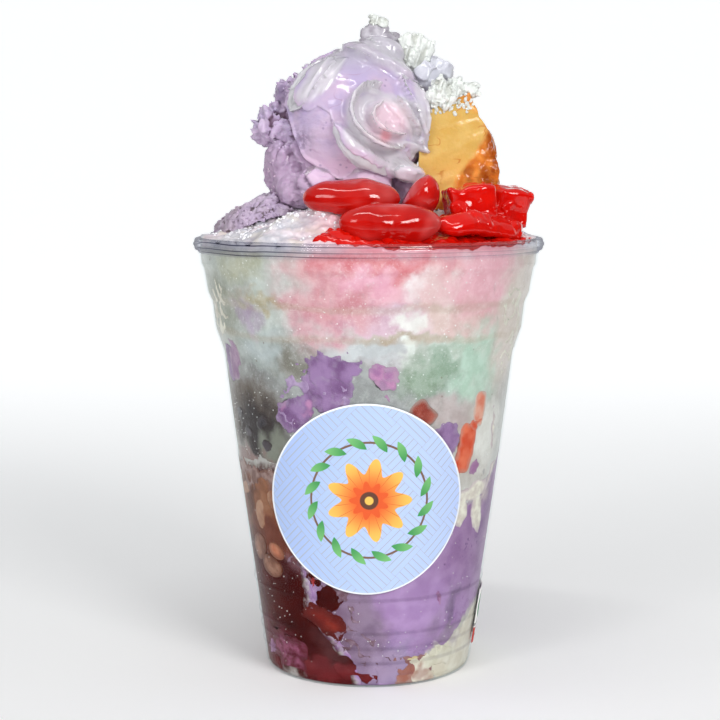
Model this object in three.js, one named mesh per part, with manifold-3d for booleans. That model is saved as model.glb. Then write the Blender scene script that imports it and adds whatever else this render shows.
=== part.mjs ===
// Halo halo: a clear takeaway cup filled with shaved ice, purple yam jam, sweet beans in
// syrup and milk, and heaped with ice cream, custard flan, palm fruit, red jelly and young
// coconut. Millimetres, +Z up, the front faces -Y, and the origin is at the centre of the foot.

import * as THREE from 'three';
import { mergeVertices } from 'three/addons/utils/BufferGeometryUtils.js';
import Module from 'manifold-3d';

const wasm = await Module();
wasm.setup();

// ---------------------------------------------------------------- driving dimensions

const CUP_HEIGHT = 121;        // table to the top of the rolled lip
const LIP_RADIUS = 49;         // outside of the lip, a 98 mm mouth
const FOOT_RADIUS = 28.6;
const WALL = 0.85;             // wall thickness
const FLOOR_TOP = 3;           // top of the cup's floor
const FLOOR_UNDER = 2;         // the floor's underside, raised inside the foot ring
const FOOT_WIDTH = 2.6;        // width of the flat ring that the cup stands on
const GAP = 0.3;               // clearance between neighbouring pieces
const ROUND = 28;              // facets round the cup
const HEAP_CELLS = 10;         // facets across the top of the ice

const LABEL = { width: 50.6, height: 52.4, centre: 53.2, aside: -0.7 };  // as seen from the front
const PAPER = 0.35;            // thickness of both labels
const PAPER_GAP = 0.15;        // between the wall and the paper

const SIDE_LABEL = { width: 22, height: 15.5, centre: 14.2, azimuth: 96 };

const SCOOP = { centre: [-4.5, 0, 151], radii: [20.4, 20.4, 21] };

// radius of the outside of the wall at each height where its slope changes, foot to lip
const WALL_STATIONS = [
  [29.2, 0.9], [36.2, 51], [41.05, 89.3], [43.4, 96.2], [44.2, 103.2],
  [45.4, 105.8], [46.5, 112.4], [47.2, 113.8], [47.4, 116.7],
];

// the lip's rolled bead, from its underside over the top to the inside of the wall
const LIP_BEAD = [
  [48.4, 116.9], [LIP_RADIUS, 117.9], [LIP_RADIUS, 119.8], [48.3, 120.8], [47.4, CUP_HEIGHT], [46.6, 120.3],
];

// ---------------------------------------------------------------- making and cutting solids

function toSolid(geometry) {
  const bare = geometry.clone();
  bare.deleteAttribute('normal');
  bare.deleteAttribute('uv');
  const merged = mergeVertices(bare, 1e-4);
  const triVerts = new Uint32Array(merged.index.array);
  const vertProperties = new Float32Array(merged.attributes.position.array);
  const mesh = new wasm.Mesh({ numProp: 3, vertProperties, triVerts });
  const solid = new wasm.Manifold(mesh);
  return solid.volume() < 0 ? toSolid(flipped(merged)) : solid;
}

function flipped(geometry) {
  const turned = geometry.clone();
  const index = turned.index.array;
  for (let i = 0; i < index.length; i += 3) {
    [index[i], index[i + 1]] = [index[i + 1], index[i]];
  }
  return turned;
}

function toGeometry(solid) {
  const mesh = solid.getMesh();
  const geometry = new THREE.BufferGeometry();
  geometry.setAttribute('position', new THREE.BufferAttribute(mesh.vertProperties, 3));
  geometry.setIndex(new THREE.BufferAttribute(mesh.triVerts, 1));
  geometry.computeVertexNormals();
  return geometry;
}

const joined = (solids) => solids.reduce((whole, next) => whole.add(next));

// the biggest body that is left after the cuts
function cutBy(solid, cutters) {
  const rest = cutters.reduce((left, cutter) => left.subtract(cutter), solid);
  const bodies = rest.decompose();
  return bodies.reduce((best, body) => (body.volume() > best.volume() ? body : best));
}

// smooth, repeatable unevenness between about -1 and 1
function ripple(x, y, z, wave, seed) {
  const k = (2 * Math.PI) / wave;
  const a = Math.sin(k * x + seed) * Math.cos(1.13 * k * y + 2.1 * seed);
  const b = Math.sin(1.27 * k * y + 1.7 * seed) * Math.cos(0.91 * k * z + seed);
  const c = Math.sin(1.09 * k * z + 0.6 * seed) * Math.cos(1.19 * k * x + 2.9 * seed);
  return (a + b + c) / 1.6;
}

const vectors = (points) => points.map((p) => new THREE.Vector3(...p));

// moves every corner of a geometry by a function from an old place to a new one
function reshaped(geometry, move) {
  const place = geometry.attributes.position;
  const point = new THREE.Vector3();
  for (let i = 0; i < place.count; i += 1) {
    point.fromBufferAttribute(place, i);
    const moved = move(point);
    place.setXYZ(i, moved.x, moved.y, moved.z);
  }
  return geometry;
}

// an uneven rounded lump; detail sets its facets and grow makes a cutter of it
function lump({ centre, radii, detail = 4, rough = 0, wave = 10, seed = 1, turn = [0, 0, 0], grow = 0 }) {
  const spin = new THREE.Euler(...turn.map(THREE.MathUtils.degToRad));
  const ball = new THREE.IcosahedronGeometry(1, detail);
  return toSolid(reshaped(ball, (unit) => {
    const local = new THREE.Vector3(
      unit.x * (radii[0] + grow),
      unit.y * (radii[1] + grow),
      unit.z * (radii[2] + grow),
    );
    const swell = rough * ripple(local.x, local.y, local.z, wave, seed);
    return local.addScaledVector(unit, swell).applyEuler(spin).add(new THREE.Vector3(...centre));
  }));
}

// a lump squared off towards a block: power 1 is a ball, and a small power a block
function block({
  centre, half, power = 0.45, detail = 3, rough = 0, wave = 8, seed = 1, turn = [0, 0, 0], grow = 0,
}) {
  const spin = new THREE.Euler(...turn.map(THREE.MathUtils.degToRad));
  const squared = (value) => Math.sign(value) * Math.abs(value) ** power;
  const ball = new THREE.IcosahedronGeometry(1, detail);
  return toSolid(reshaped(ball, (unit) => {
    const corner = new THREE.Vector3(squared(unit.x), squared(unit.y), squared(unit.z));
    const largest = Math.max(Math.abs(corner.x), Math.abs(corner.y), Math.abs(corner.z));
    const pull = 0.25 + 0.75 / largest;
    const local = new THREE.Vector3(
      corner.x * pull * (half[0] + grow),
      corner.y * pull * (half[1] + grow),
      corner.z * pull * (half[2] + grow),
    );
    const swell = rough * ripple(local.x, local.y, local.z, wave, seed);
    return local.addScaledVector(unit, swell).applyEuler(spin).add(new THREE.Vector3(...centre));
  }));
}

// a strip with round ends swept along a smooth path. Its width lies across `away`, the
// direction from the path's hub outwards, unless it stands on its edge.
function strip({ path, hub, width, thick, standing = false, sides = 6, rings = 10, grow = 0 }) {
  const route = new THREE.CatmullRomCurve3(path, false, 'centripetal');
  const ball = new THREE.SphereGeometry(1, sides, rings);
  const centre = new THREE.Vector3(...hub);
  const length = route.getLength();
  return toSolid(reshaped(ball, (unit) => {
    const along = 1 - (2 * Math.acos(THREE.MathUtils.clamp(unit.y, -1, 1))) / Math.PI;
    const ring = Math.sqrt(Math.max(1 - unit.y * unit.y, 0));
    const taper = (1 - Math.abs(along) ** 2.6) ** 0.5;
    const spread = ring > 1e-6 ? taper / ring : 0;
    const t = (along * (length + 2 * grow) / length + 1) / 2;
    const clamped = THREE.MathUtils.clamp(t, 0, 1);
    const on = route.getPointAt(clamped);
    const tangent = route.getTangentAt(clamped);
    on.addScaledVector(tangent, (t - clamped) * length);
    const away = on.clone().sub(centre);
    away.addScaledVector(tangent, -away.dot(tangent)).normalize();
    const across = tangent.clone().cross(away).normalize();
    const breadth = (typeof width === 'function' ? width(t) : width) / 2 + grow;
    const depth = thick / 2 + grow;
    const [wide, deep] = standing ? [away, across] : [across, away];
    return on.addScaledVector(wide, unit.x * spread * breadth).addScaledVector(deep, unit.z * spread * depth);
  }));
}

// everything between a flat floor and the surface z = height(x, y)
function below(height, { reach = 50, cells = 8, floor = -10 }) {
  const slab = new THREE.BoxGeometry(2 * reach, 2 * reach, 1, cells, cells, 1);
  return toSolid(reshaped(slab, ({ x, y, z }) => new THREE.Vector3(x, y, z > 0 ? height(x, y) : floor)));
}

// everything on the -X side of the surface x = side(y, z)
function leftOf(side, { reach = 50, top = 100, cells = 7, limit = -60 }) {
  const slab = new THREE.BoxGeometry(1, 2 * reach, top + 10, 1, cells, cells);
  return toSolid(reshaped(slab, (p) => {
    const z = p.z + (top - 10) / 2;
    return new THREE.Vector3(p.x > 0 ? side(p.y, z) : limit, p.y, z);
  }));
}

function turned(profile, facets = ROUND) {
  const lathe = new THREE.LatheGeometry(profile.map(([r, z]) => new THREE.Vector2(r, z)), facets);
  lathe.rotateX(Math.PI / 2);
  return lathe;
}

// ---------------------------------------------------------------- the cup and its labels

// outside radius of the wall at a height, straight between its stations
function wallRadius(z) {
  const upper = WALL_STATIONS.findIndex(([, height]) => height >= z);
  const i = upper < 1 ? 1 : upper;
  const [r0, z0] = WALL_STATIONS[i - 1];
  const [r1, z1] = WALL_STATIONS[i];
  return r0 + ((r1 - r0) * (z - z0)) / (z1 - z0);
}

// the wall's inner face, a wall thickness in from the outside, from the lip down
function innerWall(inset) {
  const upper = WALL_STATIONS.slice(1).reverse();
  const face = upper.map(([r, z]) => [r - inset, z + inset * 0.2]);
  return face.concat([[wallRadius(FLOOR_TOP + 1) - inset, FLOOR_TOP + 1]]);
}

function cupSolid() {
  const inner = innerWall(WALL);
  const corner = wallRadius(FLOOR_TOP + 1) - WALL - 1;
  const ring = FOOT_RADIUS - FOOT_WIDTH;
  const profile = [
    [0, FLOOR_UNDER], [ring - 0.6, FLOOR_UNDER], [ring, 0], [FOOT_RADIUS, 0],
    ...WALL_STATIONS, ...LIP_BEAD, ...inner, [corner, FLOOR_TOP], [0, FLOOR_TOP],
  ];
  return toSolid(turned(profile));
}

// the whole inside of the cup, a gap in from the wall, and open upwards for the heap
function insideSolid() {
  const inset = WALL + GAP;
  const wall = innerWall(inset).reverse();
  const [mouth] = wall[wall.length - 1];
  const floor = FLOOR_TOP + GAP;
  const corner = wallRadius(FLOOR_TOP + 1) - inset - 1;
  const aboveMouth = [[mouth, CUP_HEIGHT], [mouth - 6, 150], [0, 150]];
  return toSolid(turned([[0, floor], [corner, floor], ...wall, ...aboveMouth]));
}

// a sheet of paper wrapped all the way round the wall, which the labels are cut from
function wrapSolid() {
  const lower = WALL_STATIONS.slice(0, 3);
  const near = lower.map(([r, z]) => [r + PAPER_GAP, z]);
  const far = lower.map(([r, z]) => [r + PAPER_GAP + PAPER, z]).reverse();
  return toSolid(turned([...near, ...far, near[0]]));
}

function frontLabel() {
  const punch = new THREE.CylinderGeometry(1, 1, 60, 32);
  punch.scale(LABEL.width / 2, 1, LABEL.height / 2);
  punch.translate(LABEL.aside, -30, LABEL.centre);
  return wrapSolid().intersect(toSolid(punch));
}

function sideLabel() {
  const { width, height, centre, azimuth } = SIDE_LABEL;
  const punch = new THREE.BoxGeometry(width, 60, height);
  punch.translate(0, -30, centre);
  punch.rotateZ(THREE.MathUtils.degToRad(azimuth));
  return wrapSolid().intersect(toSolid(punch));
}

// ---------------------------------------------------------------- surfaces between the fillings

// top of the ice: a low dome that ends level with the lip, with a heap at the front left
// and a hollow along the lip at the front right, where the syrup has melted it
function iceTop(x, y) {
  const out = Math.hypot(x, y);
  const dome = 11 * (1 - Math.min(out / 46, 1) ** 2) ** 0.9;
  const heap = 6 * Math.exp(-(((x + 15) / 11) ** 2) - ((y + 32) / 7) ** 2);
  const azimuth = Math.atan2(x, -y);
  const hollow = 3.2 * Math.exp(-(((out - 38) / 6) ** 2) - ((azimuth - 0.55) / 0.75) ** 4);
  return 119.5 + dome + heap - hollow + 0.3 * ripple(x, y, 0, 17, 2);
}

// underside of the ice, with a bay where milk has run down at the front right
function iceFloor(x, y) {
  const azimuth = Math.atan2(x, -y);
  const bay = 17 * Math.exp(-(((azimuth - 0.93) / 0.32) ** 2)) * (Math.hypot(x, y) / 34) ** 3;
  return 62 + 0.08 * x + 1.6 * ripple(x, y, 0, 34, 4) - Math.min(bay, 20);
}

// between the beans in syrup on the left and the yam jam on the right
function syrupSide(y, z) {
  const drift = -21 * (1 - Math.exp(-(z - 2) / 19));
  return drift + 0.2 * (y + 25) + 1.6 * ripple(y, z, 0, 27, 3);
}

// top of the milky cream at the bottom on the right, drawn up along the wall
function creamTop(x, y) {
  const drawn = 9 * THREE.MathUtils.smoothstep(x, 22, 29);
  return 5 + 0.5 * (x - 9) + drawn + 0.8 * ripple(x, y, 0, 25, 6);
}

// ---------------------------------------------------------------- toppings

// a place on the scoop: azimuth from the front towards +X, elevation, and lift off its dome
function onScoop([azimuth, elevation, lift]) {
  const a = THREE.MathUtils.degToRad(azimuth);
  const e = THREE.MathUtils.degToRad(elevation);
  const [cx, cy, cz] = SCOOP.centre;
  const [rx, ry, rz] = SCOOP.radii;
  return new THREE.Vector3(
    cx + (rx + lift) * Math.cos(e) * Math.sin(a),
    cy - (ry + lift) * Math.cos(e) * Math.cos(a),
    cz + (rz + lift) * Math.sin(e),
  );
}

// the smooth scooped dome, with torn lumps on its left and a ragged skirt round its foot
function scoopSolid(grow = 0) {
  const dome = lump({
    centre: SCOOP.centre, radii: SCOOP.radii, detail: 4, rough: 0.35, wave: 19, seed: 3, grow,
  });
  const torn = [
    { centre: [-25.6, -2, 151.2], radii: [6.4, 7, 5.8], seed: 1 },
    { centre: [-22.6, -3, 140.6], radii: [7, 8, 8.4], seed: 2 },
    { centre: [-22.2, 1, 160], radii: [3.8, 4.5, 4.6], seed: 5 },
    { centre: [-17.5, -8, 133.6], radii: [8.4, 8, 6], seed: 4 },
  ];
  const skirt = [];
  const ringRadius = 16.2;
  const pieces = 7;
  for (let i = 0; i < pieces; i += 1) {
    const angle = (i / pieces) * 2 * Math.PI + 0.25;
    const uneven = ripple(i * 3, i * 5, 0, 17, 2);
    const x = SCOOP.centre[0] + (ringRadius + uneven) * Math.sin(angle);
    const y = SCOOP.centre[1] - (ringRadius - 1.6 + uneven) * Math.cos(angle);
    skirt.push({ centre: [x, y, 134.6 + uneven], radii: [7, 7, 5.2 + 0.6 * uneven], seed: i + 7 });
  }
  const rags = [...torn, ...skirt].map((rag) => lump({ ...rag, detail: 1, rough: 0.7, wave: 7, grow }));
  return joined([dome, ...rags]);
}

// custard cut from a round tin: a flat cut front, a rough caramel side and a sloping top
function flanSolid(grow = 0) {
  const outline = new THREE.Shape([
    [13.2, 122], [13.6, 145], [16.6, 155.8], [27.4, 160.2], [30.4, 154],
    [33.6, 148.6], [35, 141], [35.8, 133], [36, 122],
  ].map(([x, z]) => new THREE.Vector2(x, z)));
  const depth = 22;
  const bevel = 1.2;
  const body = new THREE.ExtrudeGeometry(outline, {
    depth, steps: 5, bevelEnabled: true, bevelThickness: bevel + grow, bevelSize: grow, bevelSegments: 2,
  });
  body.rotateX(Math.PI / 2);
  body.translate(0, depth - 11, 0);
  return toSolid(reshaped(body, ({ x, y, z }) => {
    const slant = -0.16 * (x - 14);
    const side = 0.5 * ripple(0, y, z, 9, 2) * THREE.MathUtils.smoothstep(x, 26, 33);
    return new THREE.Vector3(x + side + 0.06 * (y + 10), y - slant, z);
  }));
}

// sugar palm fruit: long glossy seeds, a little flattened
const PALM_FRUIT = [
  { centre: [-4.6, -29.4, 132], radii: [12.6, 6.2, 5.2], turn: [12, 0, -4] },
  { centre: [5.4, -36.4, 125.8], radii: [13.4, 6, 5.3], turn: [8, 2, 8] },
  { centre: [13.4, -27.6, 132.8], radii: [5.1, 5, 6.6], turn: [10, 10, 0] },
];
const palmFruit = (fruit, grow = 0) => lump({ ...fruit, detail: 3, rough: 0.25, wave: 14, seed: 2, grow });

// red jelly shards heaped at the front right, the last one a flat strand along the lip
const RED_JELLY = [
  { centre: [27.2, -20.2, 130.8], half: [6.4, 4.6, 4], turn: [0, -8, 12], seed: 3 },
  { centre: [37.2, -12.4, 129.4], half: [4.7, 5.6, 5.2], turn: [4, 12, 20], seed: 8 },
];
const redJelly = (shard, grow = 0) => block({ ...shard, detail: 2, power: 0.55, rough: 0.7, wave: 9, grow });

function jellyStrand(grow = 0) {
  const path = vectors([
    [17.5, -33.6, 124.6], [24, -31, 125.4], [31, -25.5, 125], [37, -18.5, 124.2], [40.6, -11, 123.6],
  ]);
  const width = (t) => 8.4 + 1.6 * Math.sin(9 * t + 1);
  return strip({ path, hub: [0, 0, 70], width, thick: 5, rings: 12, grow });
}

// strips of young coconut: path on the scoop, width and thickness, flat or on their edge
const COCONUT_STRIPS = [
  { path: [[-24, 60, 0.9], [-38, 44, 0.8], [-47, 28, 0.7], [-54, 8, 0.8]], width: 11, thick: 1.9 },
  { path: [[-60, 80, 1.9], [16, 70, 2.1], [36, 57, 2.2], [56, 45, 2.3], [68, 28, 2.3]],
    width: 8.5, thick: 3.2 },
  { path: [[-13, 4, 2], [-4, -12, 2.6], [12, -23, 3], [32, -30, 3], [50, -32, 2.6]], width: 6.6, thick: 4 },
  { path: [[27, 29, 2.8], [10, 27, 3.2], [0, 16, 3.6], [1, 4, 3.8], [12, -7, 3.6], [28, -13, 3.2],
    [42, -14, 2.6]], width: 6, thick: 2.3, standing: true },
  { path: [[24, 17, 2.8], [14, 10, 3], [16, 2, 3], [28, -4, 2.8], [42, -5, 2.4]],
    width: 5, thick: 2.2, standing: true },
  { path: [[33, 22, 2.6], [38, 12, 2.8], [46, 2, 2.6], [54, -9, 2.4]],
    width: 5.4, thick: 2.4, standing: true },
  { path: [[46, 38, 2.4], [54, 24, 2.8], [58, 8, 3.2], [59, -8, 3.4], [62, -20, 4.4]],
    width: 8.4, thick: 2.2 },
  { path: [[26, -25, 6], [40, -27, 7.4], [54, -27, 7.4]], width: 6.5, thick: 4.4 },
];
function coconutStrip(shape, grow = 0) {
  const path = shape.path.map(onScoop);
  return strip({ ...shape, path, hub: SCOOP.centre, grow });
}

// a thick curl of young coconut arched over the top of the scoop, and a leaf that stands on it
function coconutArch(grow = 0) {
  const path = vectors([[-4.8, -3.6, 171.7], [0.8, -4.4, 173.2], [5.2, -4.4, 172.8], [9.6, -3.6, 169.2]]);
  return strip({ path, hub: [1, -4, 150], width: 10, thick: 3.2, grow });
}

function coconutLeaf(grow = 0) {
  const path = vectors([[-2.6, -4, 175.6], [0.4, -4.6, 176.4], [3.2, -4.6, 177.2], [5.8, -4, 178]]);
  const width = (t) => 2.4 + 3.2 * Math.sin(Math.PI * t);
  return strip({ path, hub: [0, 30, 175], width, thick: 2, rings: 8, grow });
}

// white coconut flakes: a ribbed fan, crumbs on the flan, lace at its corner, a scrap on top
const COCONUT_FLAKES = [
  { centre: [12.6, -4.4, 171.2], half: [4.8, 1.6, 4.6], turn: [10, 22, 18], power: 0.5, rough: 0.5 },
  { centre: [19.6, -10.6, 159.6], half: [3.4, 2.6, 3.8], turn: [0, 20, 0], power: 0.7, rough: 0.9 },
  { centre: [25.2, -7.2, 161.3], half: [4.2, 2, 2], turn: [0, 12, 0], power: 0.7, rough: 0.9 },
  { centre: [2.6, -4, 179.6], half: [2.7, 1.6, 1.3], turn: [0, 16, 0], power: 0.6, rough: 0.4 },
];
const coconutFlake = (flake, grow = 0) => block({ ...flake, detail: 1, wave: 6, seed: 4, grow });

// a clear, angular chunk of jelly between the flakes and the flan
const clearJelly = (grow = 0) => block({
  centre: [17.2, -3, 165.2], half: [4.2, 3.8, 4], turn: [10, 24, 30], power: 0.5, detail: 1, rough: 0.5, grow,
});

// ---------------------------------------------------------------- pieces pressed on the wall

// a lump that lies against the inside of the wall at an azimuth and height
function againstWall({ azimuth, z, half, squared = false, tilt = 0, sink = 0.4 }, grow = 0) {
  const angle = THREE.MathUtils.degToRad(azimuth);
  const r = wallRadius(z) - WALL - GAP - half[1] * sink;
  const centre = [r * Math.sin(angle), -r * Math.cos(angle), z];
  const make = squared ? block : lump;
  const shape = squared ? { half, detail: 1, rough: 0.3 } : { radii: half, detail: 1, rough: 0.45, wave: 9 };
  const level = make({ ...shape, centre: [0, 0, 0], turn: [0, tilt, 0], seed: azimuth / 20, grow });
  return level.rotate([0, 0, azimuth]).translate(centre);
}

const WALL_PIECES = {
  ube_lump_1: { azimuth: -16, z: 84.4, half: [6.4, 3.6, 8], tilt: 14 },
  ube_lump_2: { azimuth: -69, z: 88, half: [3.4, 3, 6.2], tilt: 8 },
  ube_lump_3: { azimuth: -31, z: 75.6, half: [5.4, 3, 4.4], tilt: -25 },
  ube_lump_4: { azimuth: 5, z: 86, half: [3, 2.4, 2.8], tilt: 30 },
  ube_lump_5: { azimuth: 33, z: 68.6, half: [3.8, 3, 4.4], tilt: 0 },
  orange_jelly_1: { azimuth: 43.5, z: 65.6, half: [2.6, 3, 6.2], squared: true, tilt: 10 },
  orange_jelly_2: { azimuth: 50, z: 75.6, half: [1.7, 2.4, 4.4], squared: true, tilt: 4 },
  orange_jelly_3: { azimuth: 22, z: 76, half: [3.2, 2.6, 2.4], squared: true, tilt: 40 },
  red_jelly_cube: { azimuth: -23.5, z: 18.8, half: [5.6, 3, 2.6], squared: true, tilt: 33 },
  white_bean_1: { azimuth: -63.5, z: 36.2, half: [4.6, 3.2, 3.2], tilt: -40 },
  white_bean_2: { azimuth: -54, z: 31.4, half: [4.4, 3, 2.9], tilt: 8 },
  red_bean: { azimuth: -48.5, z: 36, half: [2.9, 2.4, 2], tilt: 24 },
  magenta_jelly: { azimuth: -50, z: 8, half: [6.4, 3, 4], squared: true, tilt: 12 },
  brown_jelly: { azimuth: 24, z: 5.2, half: [5, 3, 2.6], squared: true, tilt: 0 },
};

// ---------------------------------------------------------------- putting it together

const COLOURS = {
  clear: { color: 0xdfe6e8, roughness: 0.05, metalness: 0, transparent: true, opacity: 0.3 },
  label: { color: 0xc9dbf6, roughness: 0.5, metalness: 0 },
  sideLabel: { color: 0xf2f2ee, roughness: 0.5, metalness: 0 },
  ice: { color: 0xe3dfdf, roughness: 0.35, metalness: 0 },
  syrup: { color: 0x4e2320, roughness: 0.2, metalness: 0 },
  ube: { color: 0xa286b4, roughness: 0.45, metalness: 0 },
  cream: { color: 0xdedbd2, roughness: 0.35, metalness: 0 },
  scoop: { color: 0xcdbbd9, roughness: 0.45, metalness: 0 },
  lump: { color: 0xa58fae, roughness: 0.6, metalness: 0 },
  flan: { color: 0xe8b25c, roughness: 0.35, metalness: 0 },
  palm: { color: 0xc81a10, roughness: 0.12, metalness: 0 },
  redJelly: { color: 0xd51d0c, roughness: 0.12, metalness: 0 },
  youngCoconut: { color: 0xdcd4e2, roughness: 0.15, metalness: 0 },
  flake: { color: 0xeef1ec, roughness: 0.5, metalness: 0 },
  clearJelly: { color: 0xc6c6d2, roughness: 0.1, metalness: 0 },
  orangeJelly: { color: 0xcc5940, roughness: 0.15, metalness: 0 },
  bean: { color: 0xb98a6c, roughness: 0.35, metalness: 0 },
  redBean: { color: 0x96573f, roughness: 0.3, metalness: 0 },
  magenta: { color: 0x8c5167, roughness: 0.2, metalness: 0 },
};

const model = new THREE.Group();
model.name = 'halo_halo';

function addNode(name, solid, colour) {
  const mesh = new THREE.Mesh(toGeometry(solid), new THREE.MeshStandardMaterial(COLOURS[colour]));
  mesh.name = name;
  model.add(mesh);
}

// the cup and labels
addNode('cup', cupSolid(), 'clear');
addNode('label_front', frontLabel(), 'label');
addNode('label_side', sideLabel(), 'sideLabel');

// toppings, each one cut by the ice that it rests on and the grown copies of those before it
const placed = [below((x, y) => iceTop(x, y) + GAP, { cells: HEAP_CELLS })];
function placeTopping(name, make, colour, body) {
  const solid = cutBy(body ?? make(0), placed);
  addNode(name, solid, colour);
  placed.push(make(GAP));
}

placeTopping('ice_cream_scoop', scoopSolid, 'scoop');
const lowLump = (grow = 0) => lump({
  centre: [-28.4, -2, 124.2], radii: [15.4, 15, 8.2], detail: 3, rough: 0.7, wave: 9, seed: 6,
  turn: [0, -20, 0], grow,
});
const insideWall = insideSolid();
placeTopping('ice_cream_lump', lowLump, 'lump', lowLump().intersect(insideWall));
placeTopping('leche_flan', flanSolid, 'flan');
PALM_FRUIT.forEach((fruit, i) => {
  placeTopping(`palm_fruit_${i + 1}`, (grow) => palmFruit(fruit, grow), 'palm');
});
RED_JELLY.forEach((shard, i) => {
  placeTopping(`red_jelly_${i + 1}`, (grow) => redJelly(shard, grow), 'redJelly');
});
placeTopping('red_jelly_strand', jellyStrand, 'redJelly');
COCONUT_STRIPS.forEach((shape, i) => {
  placeTopping(`young_coconut_${i + 1}`, (grow) => coconutStrip(shape, grow), 'youngCoconut');
});
placeTopping('young_coconut_arch', coconutArch, 'youngCoconut');
placeTopping('young_coconut_leaf', coconutLeaf, 'youngCoconut');
COCONUT_FLAKES.forEach((flake, i) => {
  placeTopping(`coconut_flake_${i + 1}`, (grow) => coconutFlake(flake, grow), 'flake');
});
placeTopping('clear_jelly', clearJelly, 'clearJelly');

// pieces on the wall, cut flush with the inside of the cup
const wallPieceColour = (name) => {
  if (name.startsWith('ube')) return 'ube';
  if (name.startsWith('orange')) return 'orangeJelly';
  if (name.startsWith('white')) return 'bean';
  if (name === 'red_bean' || name === 'brown_jelly') return 'redBean';
  return name.startsWith('magenta') ? 'magenta' : 'redJelly';
};
const pressed = [];
for (const [name, piece] of Object.entries(WALL_PIECES)) {
  addNode(name, cutBy(againstWall(piece).intersect(insideWall), pressed), wallPieceColour(name));
  pressed.push(againstWall(piece, GAP));
}

// the fillings share the inside of the cup, half a gap back from each surface between them
const apart = (surface, offset) => (a, b) => surface(a, b) + offset;
const half = GAP / 2;

const heapTop = below(iceTop, { cells: HEAP_CELLS });
const ice = insideWall.intersect(heapTop).subtract(below(apart(iceFloor, half), {}));
addNode('shaved_ice', cutBy(ice, pressed), 'ice');

const lower = insideWall.intersect(below(apart(iceFloor, -half), {}));
const syrup = lower.intersect(leftOf(apart(syrupSide, -half), {}));
addNode('bean_syrup', cutBy(syrup, pressed), 'syrup');

const right = lower.subtract(leftOf(apart(syrupSide, half), {}));
const cream = right.intersect(below(apart(creamTop, -half), {}));
addNode('cream', cutBy(cream, pressed), 'cream');
const jam = right.subtract(below(apart(creamTop, half), {}));
addNode('ube_jam', cutBy(jam, pressed), 'ube');

export default model;
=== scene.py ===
# %% [markdown]
# # A halo halo in a clear takeaway cup
#
# Halo halo is a layered dessert: beans in syrup and yam jam at the bottom, shaved ice and milk
# above them, and a heap of ice cream, custard, jelly and fruit on top. The solids that carry it
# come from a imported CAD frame. This notebook gives each of them its surface.
#
# Almost all of it is food, so almost nothing has a drawing to follow. The way used for most
# pieces is the same: take the plain solid, even out its faces, push them in and out by a
# pattern of the right size, and give the result a wet, slightly see-through finish.

# %% The fixed frame
import math

import bmesh
import bpy
import numpy as np
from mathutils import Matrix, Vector
from mathutils.bvhtree import BVHTree
from mathutils.kdtree import KDTree


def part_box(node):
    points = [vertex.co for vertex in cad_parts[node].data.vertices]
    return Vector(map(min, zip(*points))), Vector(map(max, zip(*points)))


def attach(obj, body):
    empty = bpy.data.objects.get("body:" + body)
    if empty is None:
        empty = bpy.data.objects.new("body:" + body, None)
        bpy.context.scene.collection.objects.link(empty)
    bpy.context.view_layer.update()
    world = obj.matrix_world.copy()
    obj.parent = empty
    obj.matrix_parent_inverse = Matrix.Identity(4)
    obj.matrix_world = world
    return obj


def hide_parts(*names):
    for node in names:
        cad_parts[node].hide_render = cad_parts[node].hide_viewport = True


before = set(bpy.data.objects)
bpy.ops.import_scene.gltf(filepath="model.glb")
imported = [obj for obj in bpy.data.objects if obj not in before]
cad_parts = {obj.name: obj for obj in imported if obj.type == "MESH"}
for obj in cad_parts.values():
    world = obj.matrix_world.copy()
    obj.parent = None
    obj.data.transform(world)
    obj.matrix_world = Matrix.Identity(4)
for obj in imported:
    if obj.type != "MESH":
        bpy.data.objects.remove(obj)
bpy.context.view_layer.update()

MM = 0.001        # the frame is in metres, and a cup is easier to think of in millimetres

# %% [markdown]
# ## Where the viewer stands
#
# The dessert is seen from a little above its lip and quite near, so the round mouth shows as a
# thin ellipse and the wall narrows quickly. A long lens from far away would flatten that. The
# camera therefore stands 46 cm from the cup's axis and dips by a few degrees.

# %% The camera
CAMERA_PLACE = Vector((-2.4, -460.0, 140.5)) * MM
CAMERA_DIP = 6.75          # degrees below level
CAMERA_LENS = 81.98        # millimetres, on a sensor 36 mm wide

camera_data = bpy.data.cameras.new("viewer")
camera_data.lens = CAMERA_LENS
camera_data.sensor_width = 36
camera = bpy.data.objects.new("viewer", camera_data)
camera.location = CAMERA_PLACE
camera.rotation_euler = (math.radians(90 - CAMERA_DIP), 0, 0)
bpy.context.scene.collection.objects.link(camera)
bpy.context.scene.camera = camera
bpy.context.scene.view_settings.view_transform = "Standard"
print("camera", tuple(round(v, 4) for v in camera.location))

# %% [markdown]
# ## Sums between shader sockets
#
# The colours of melting food are sums of many soft patches. Written as nodes one by one, such a
# sum fills pages. Here one small class stands for a socket, and a Python sum on it adds the Math
# nodes. A second class is the board on which one material is built: it has a single way of
# adding any other node.

# %% A socket that Python sums can use
class Value:
    """One socket of a material. A sum on it adds a Math node to the same board."""

    def __init__(self, board, socket):
        self.board = board
        self.socket = socket

    def math(self, operation, *others):
        values = dict(enumerate([self, *others]))
        return self.board.node("ShaderNodeMath", {"operation": operation}, values)

    def __add__(self, other):
        return self.math("ADD", other)

    def __sub__(self, other):
        return self.math("SUBTRACT", other)

    def __mul__(self, other):
        return self.math("MULTIPLY", other)

    def __truediv__(self, other):
        return self.math("DIVIDE", other)

    def __pow__(self, other):
        return self.math("POWER", other)

    def __rsub__(self, other):
        return self * -1 + other

    __radd__ = __add__
    __rmul__ = __mul__

    def smooth(self, low, high):
        """0 below low and 1 above high, with a soft step between them."""
        values = {"Value": self, "From Min": low, "From Max": high}
        return self.board.node("ShaderNodeMapRange", {"interpolation_type": "SMOOTHSTEP"}, values)


def length(across, up):
    """The distance of a place from the middle, when both of its numbers are sockets."""
    return (across ** 2 + up ** 2).math("SQRT")


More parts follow.
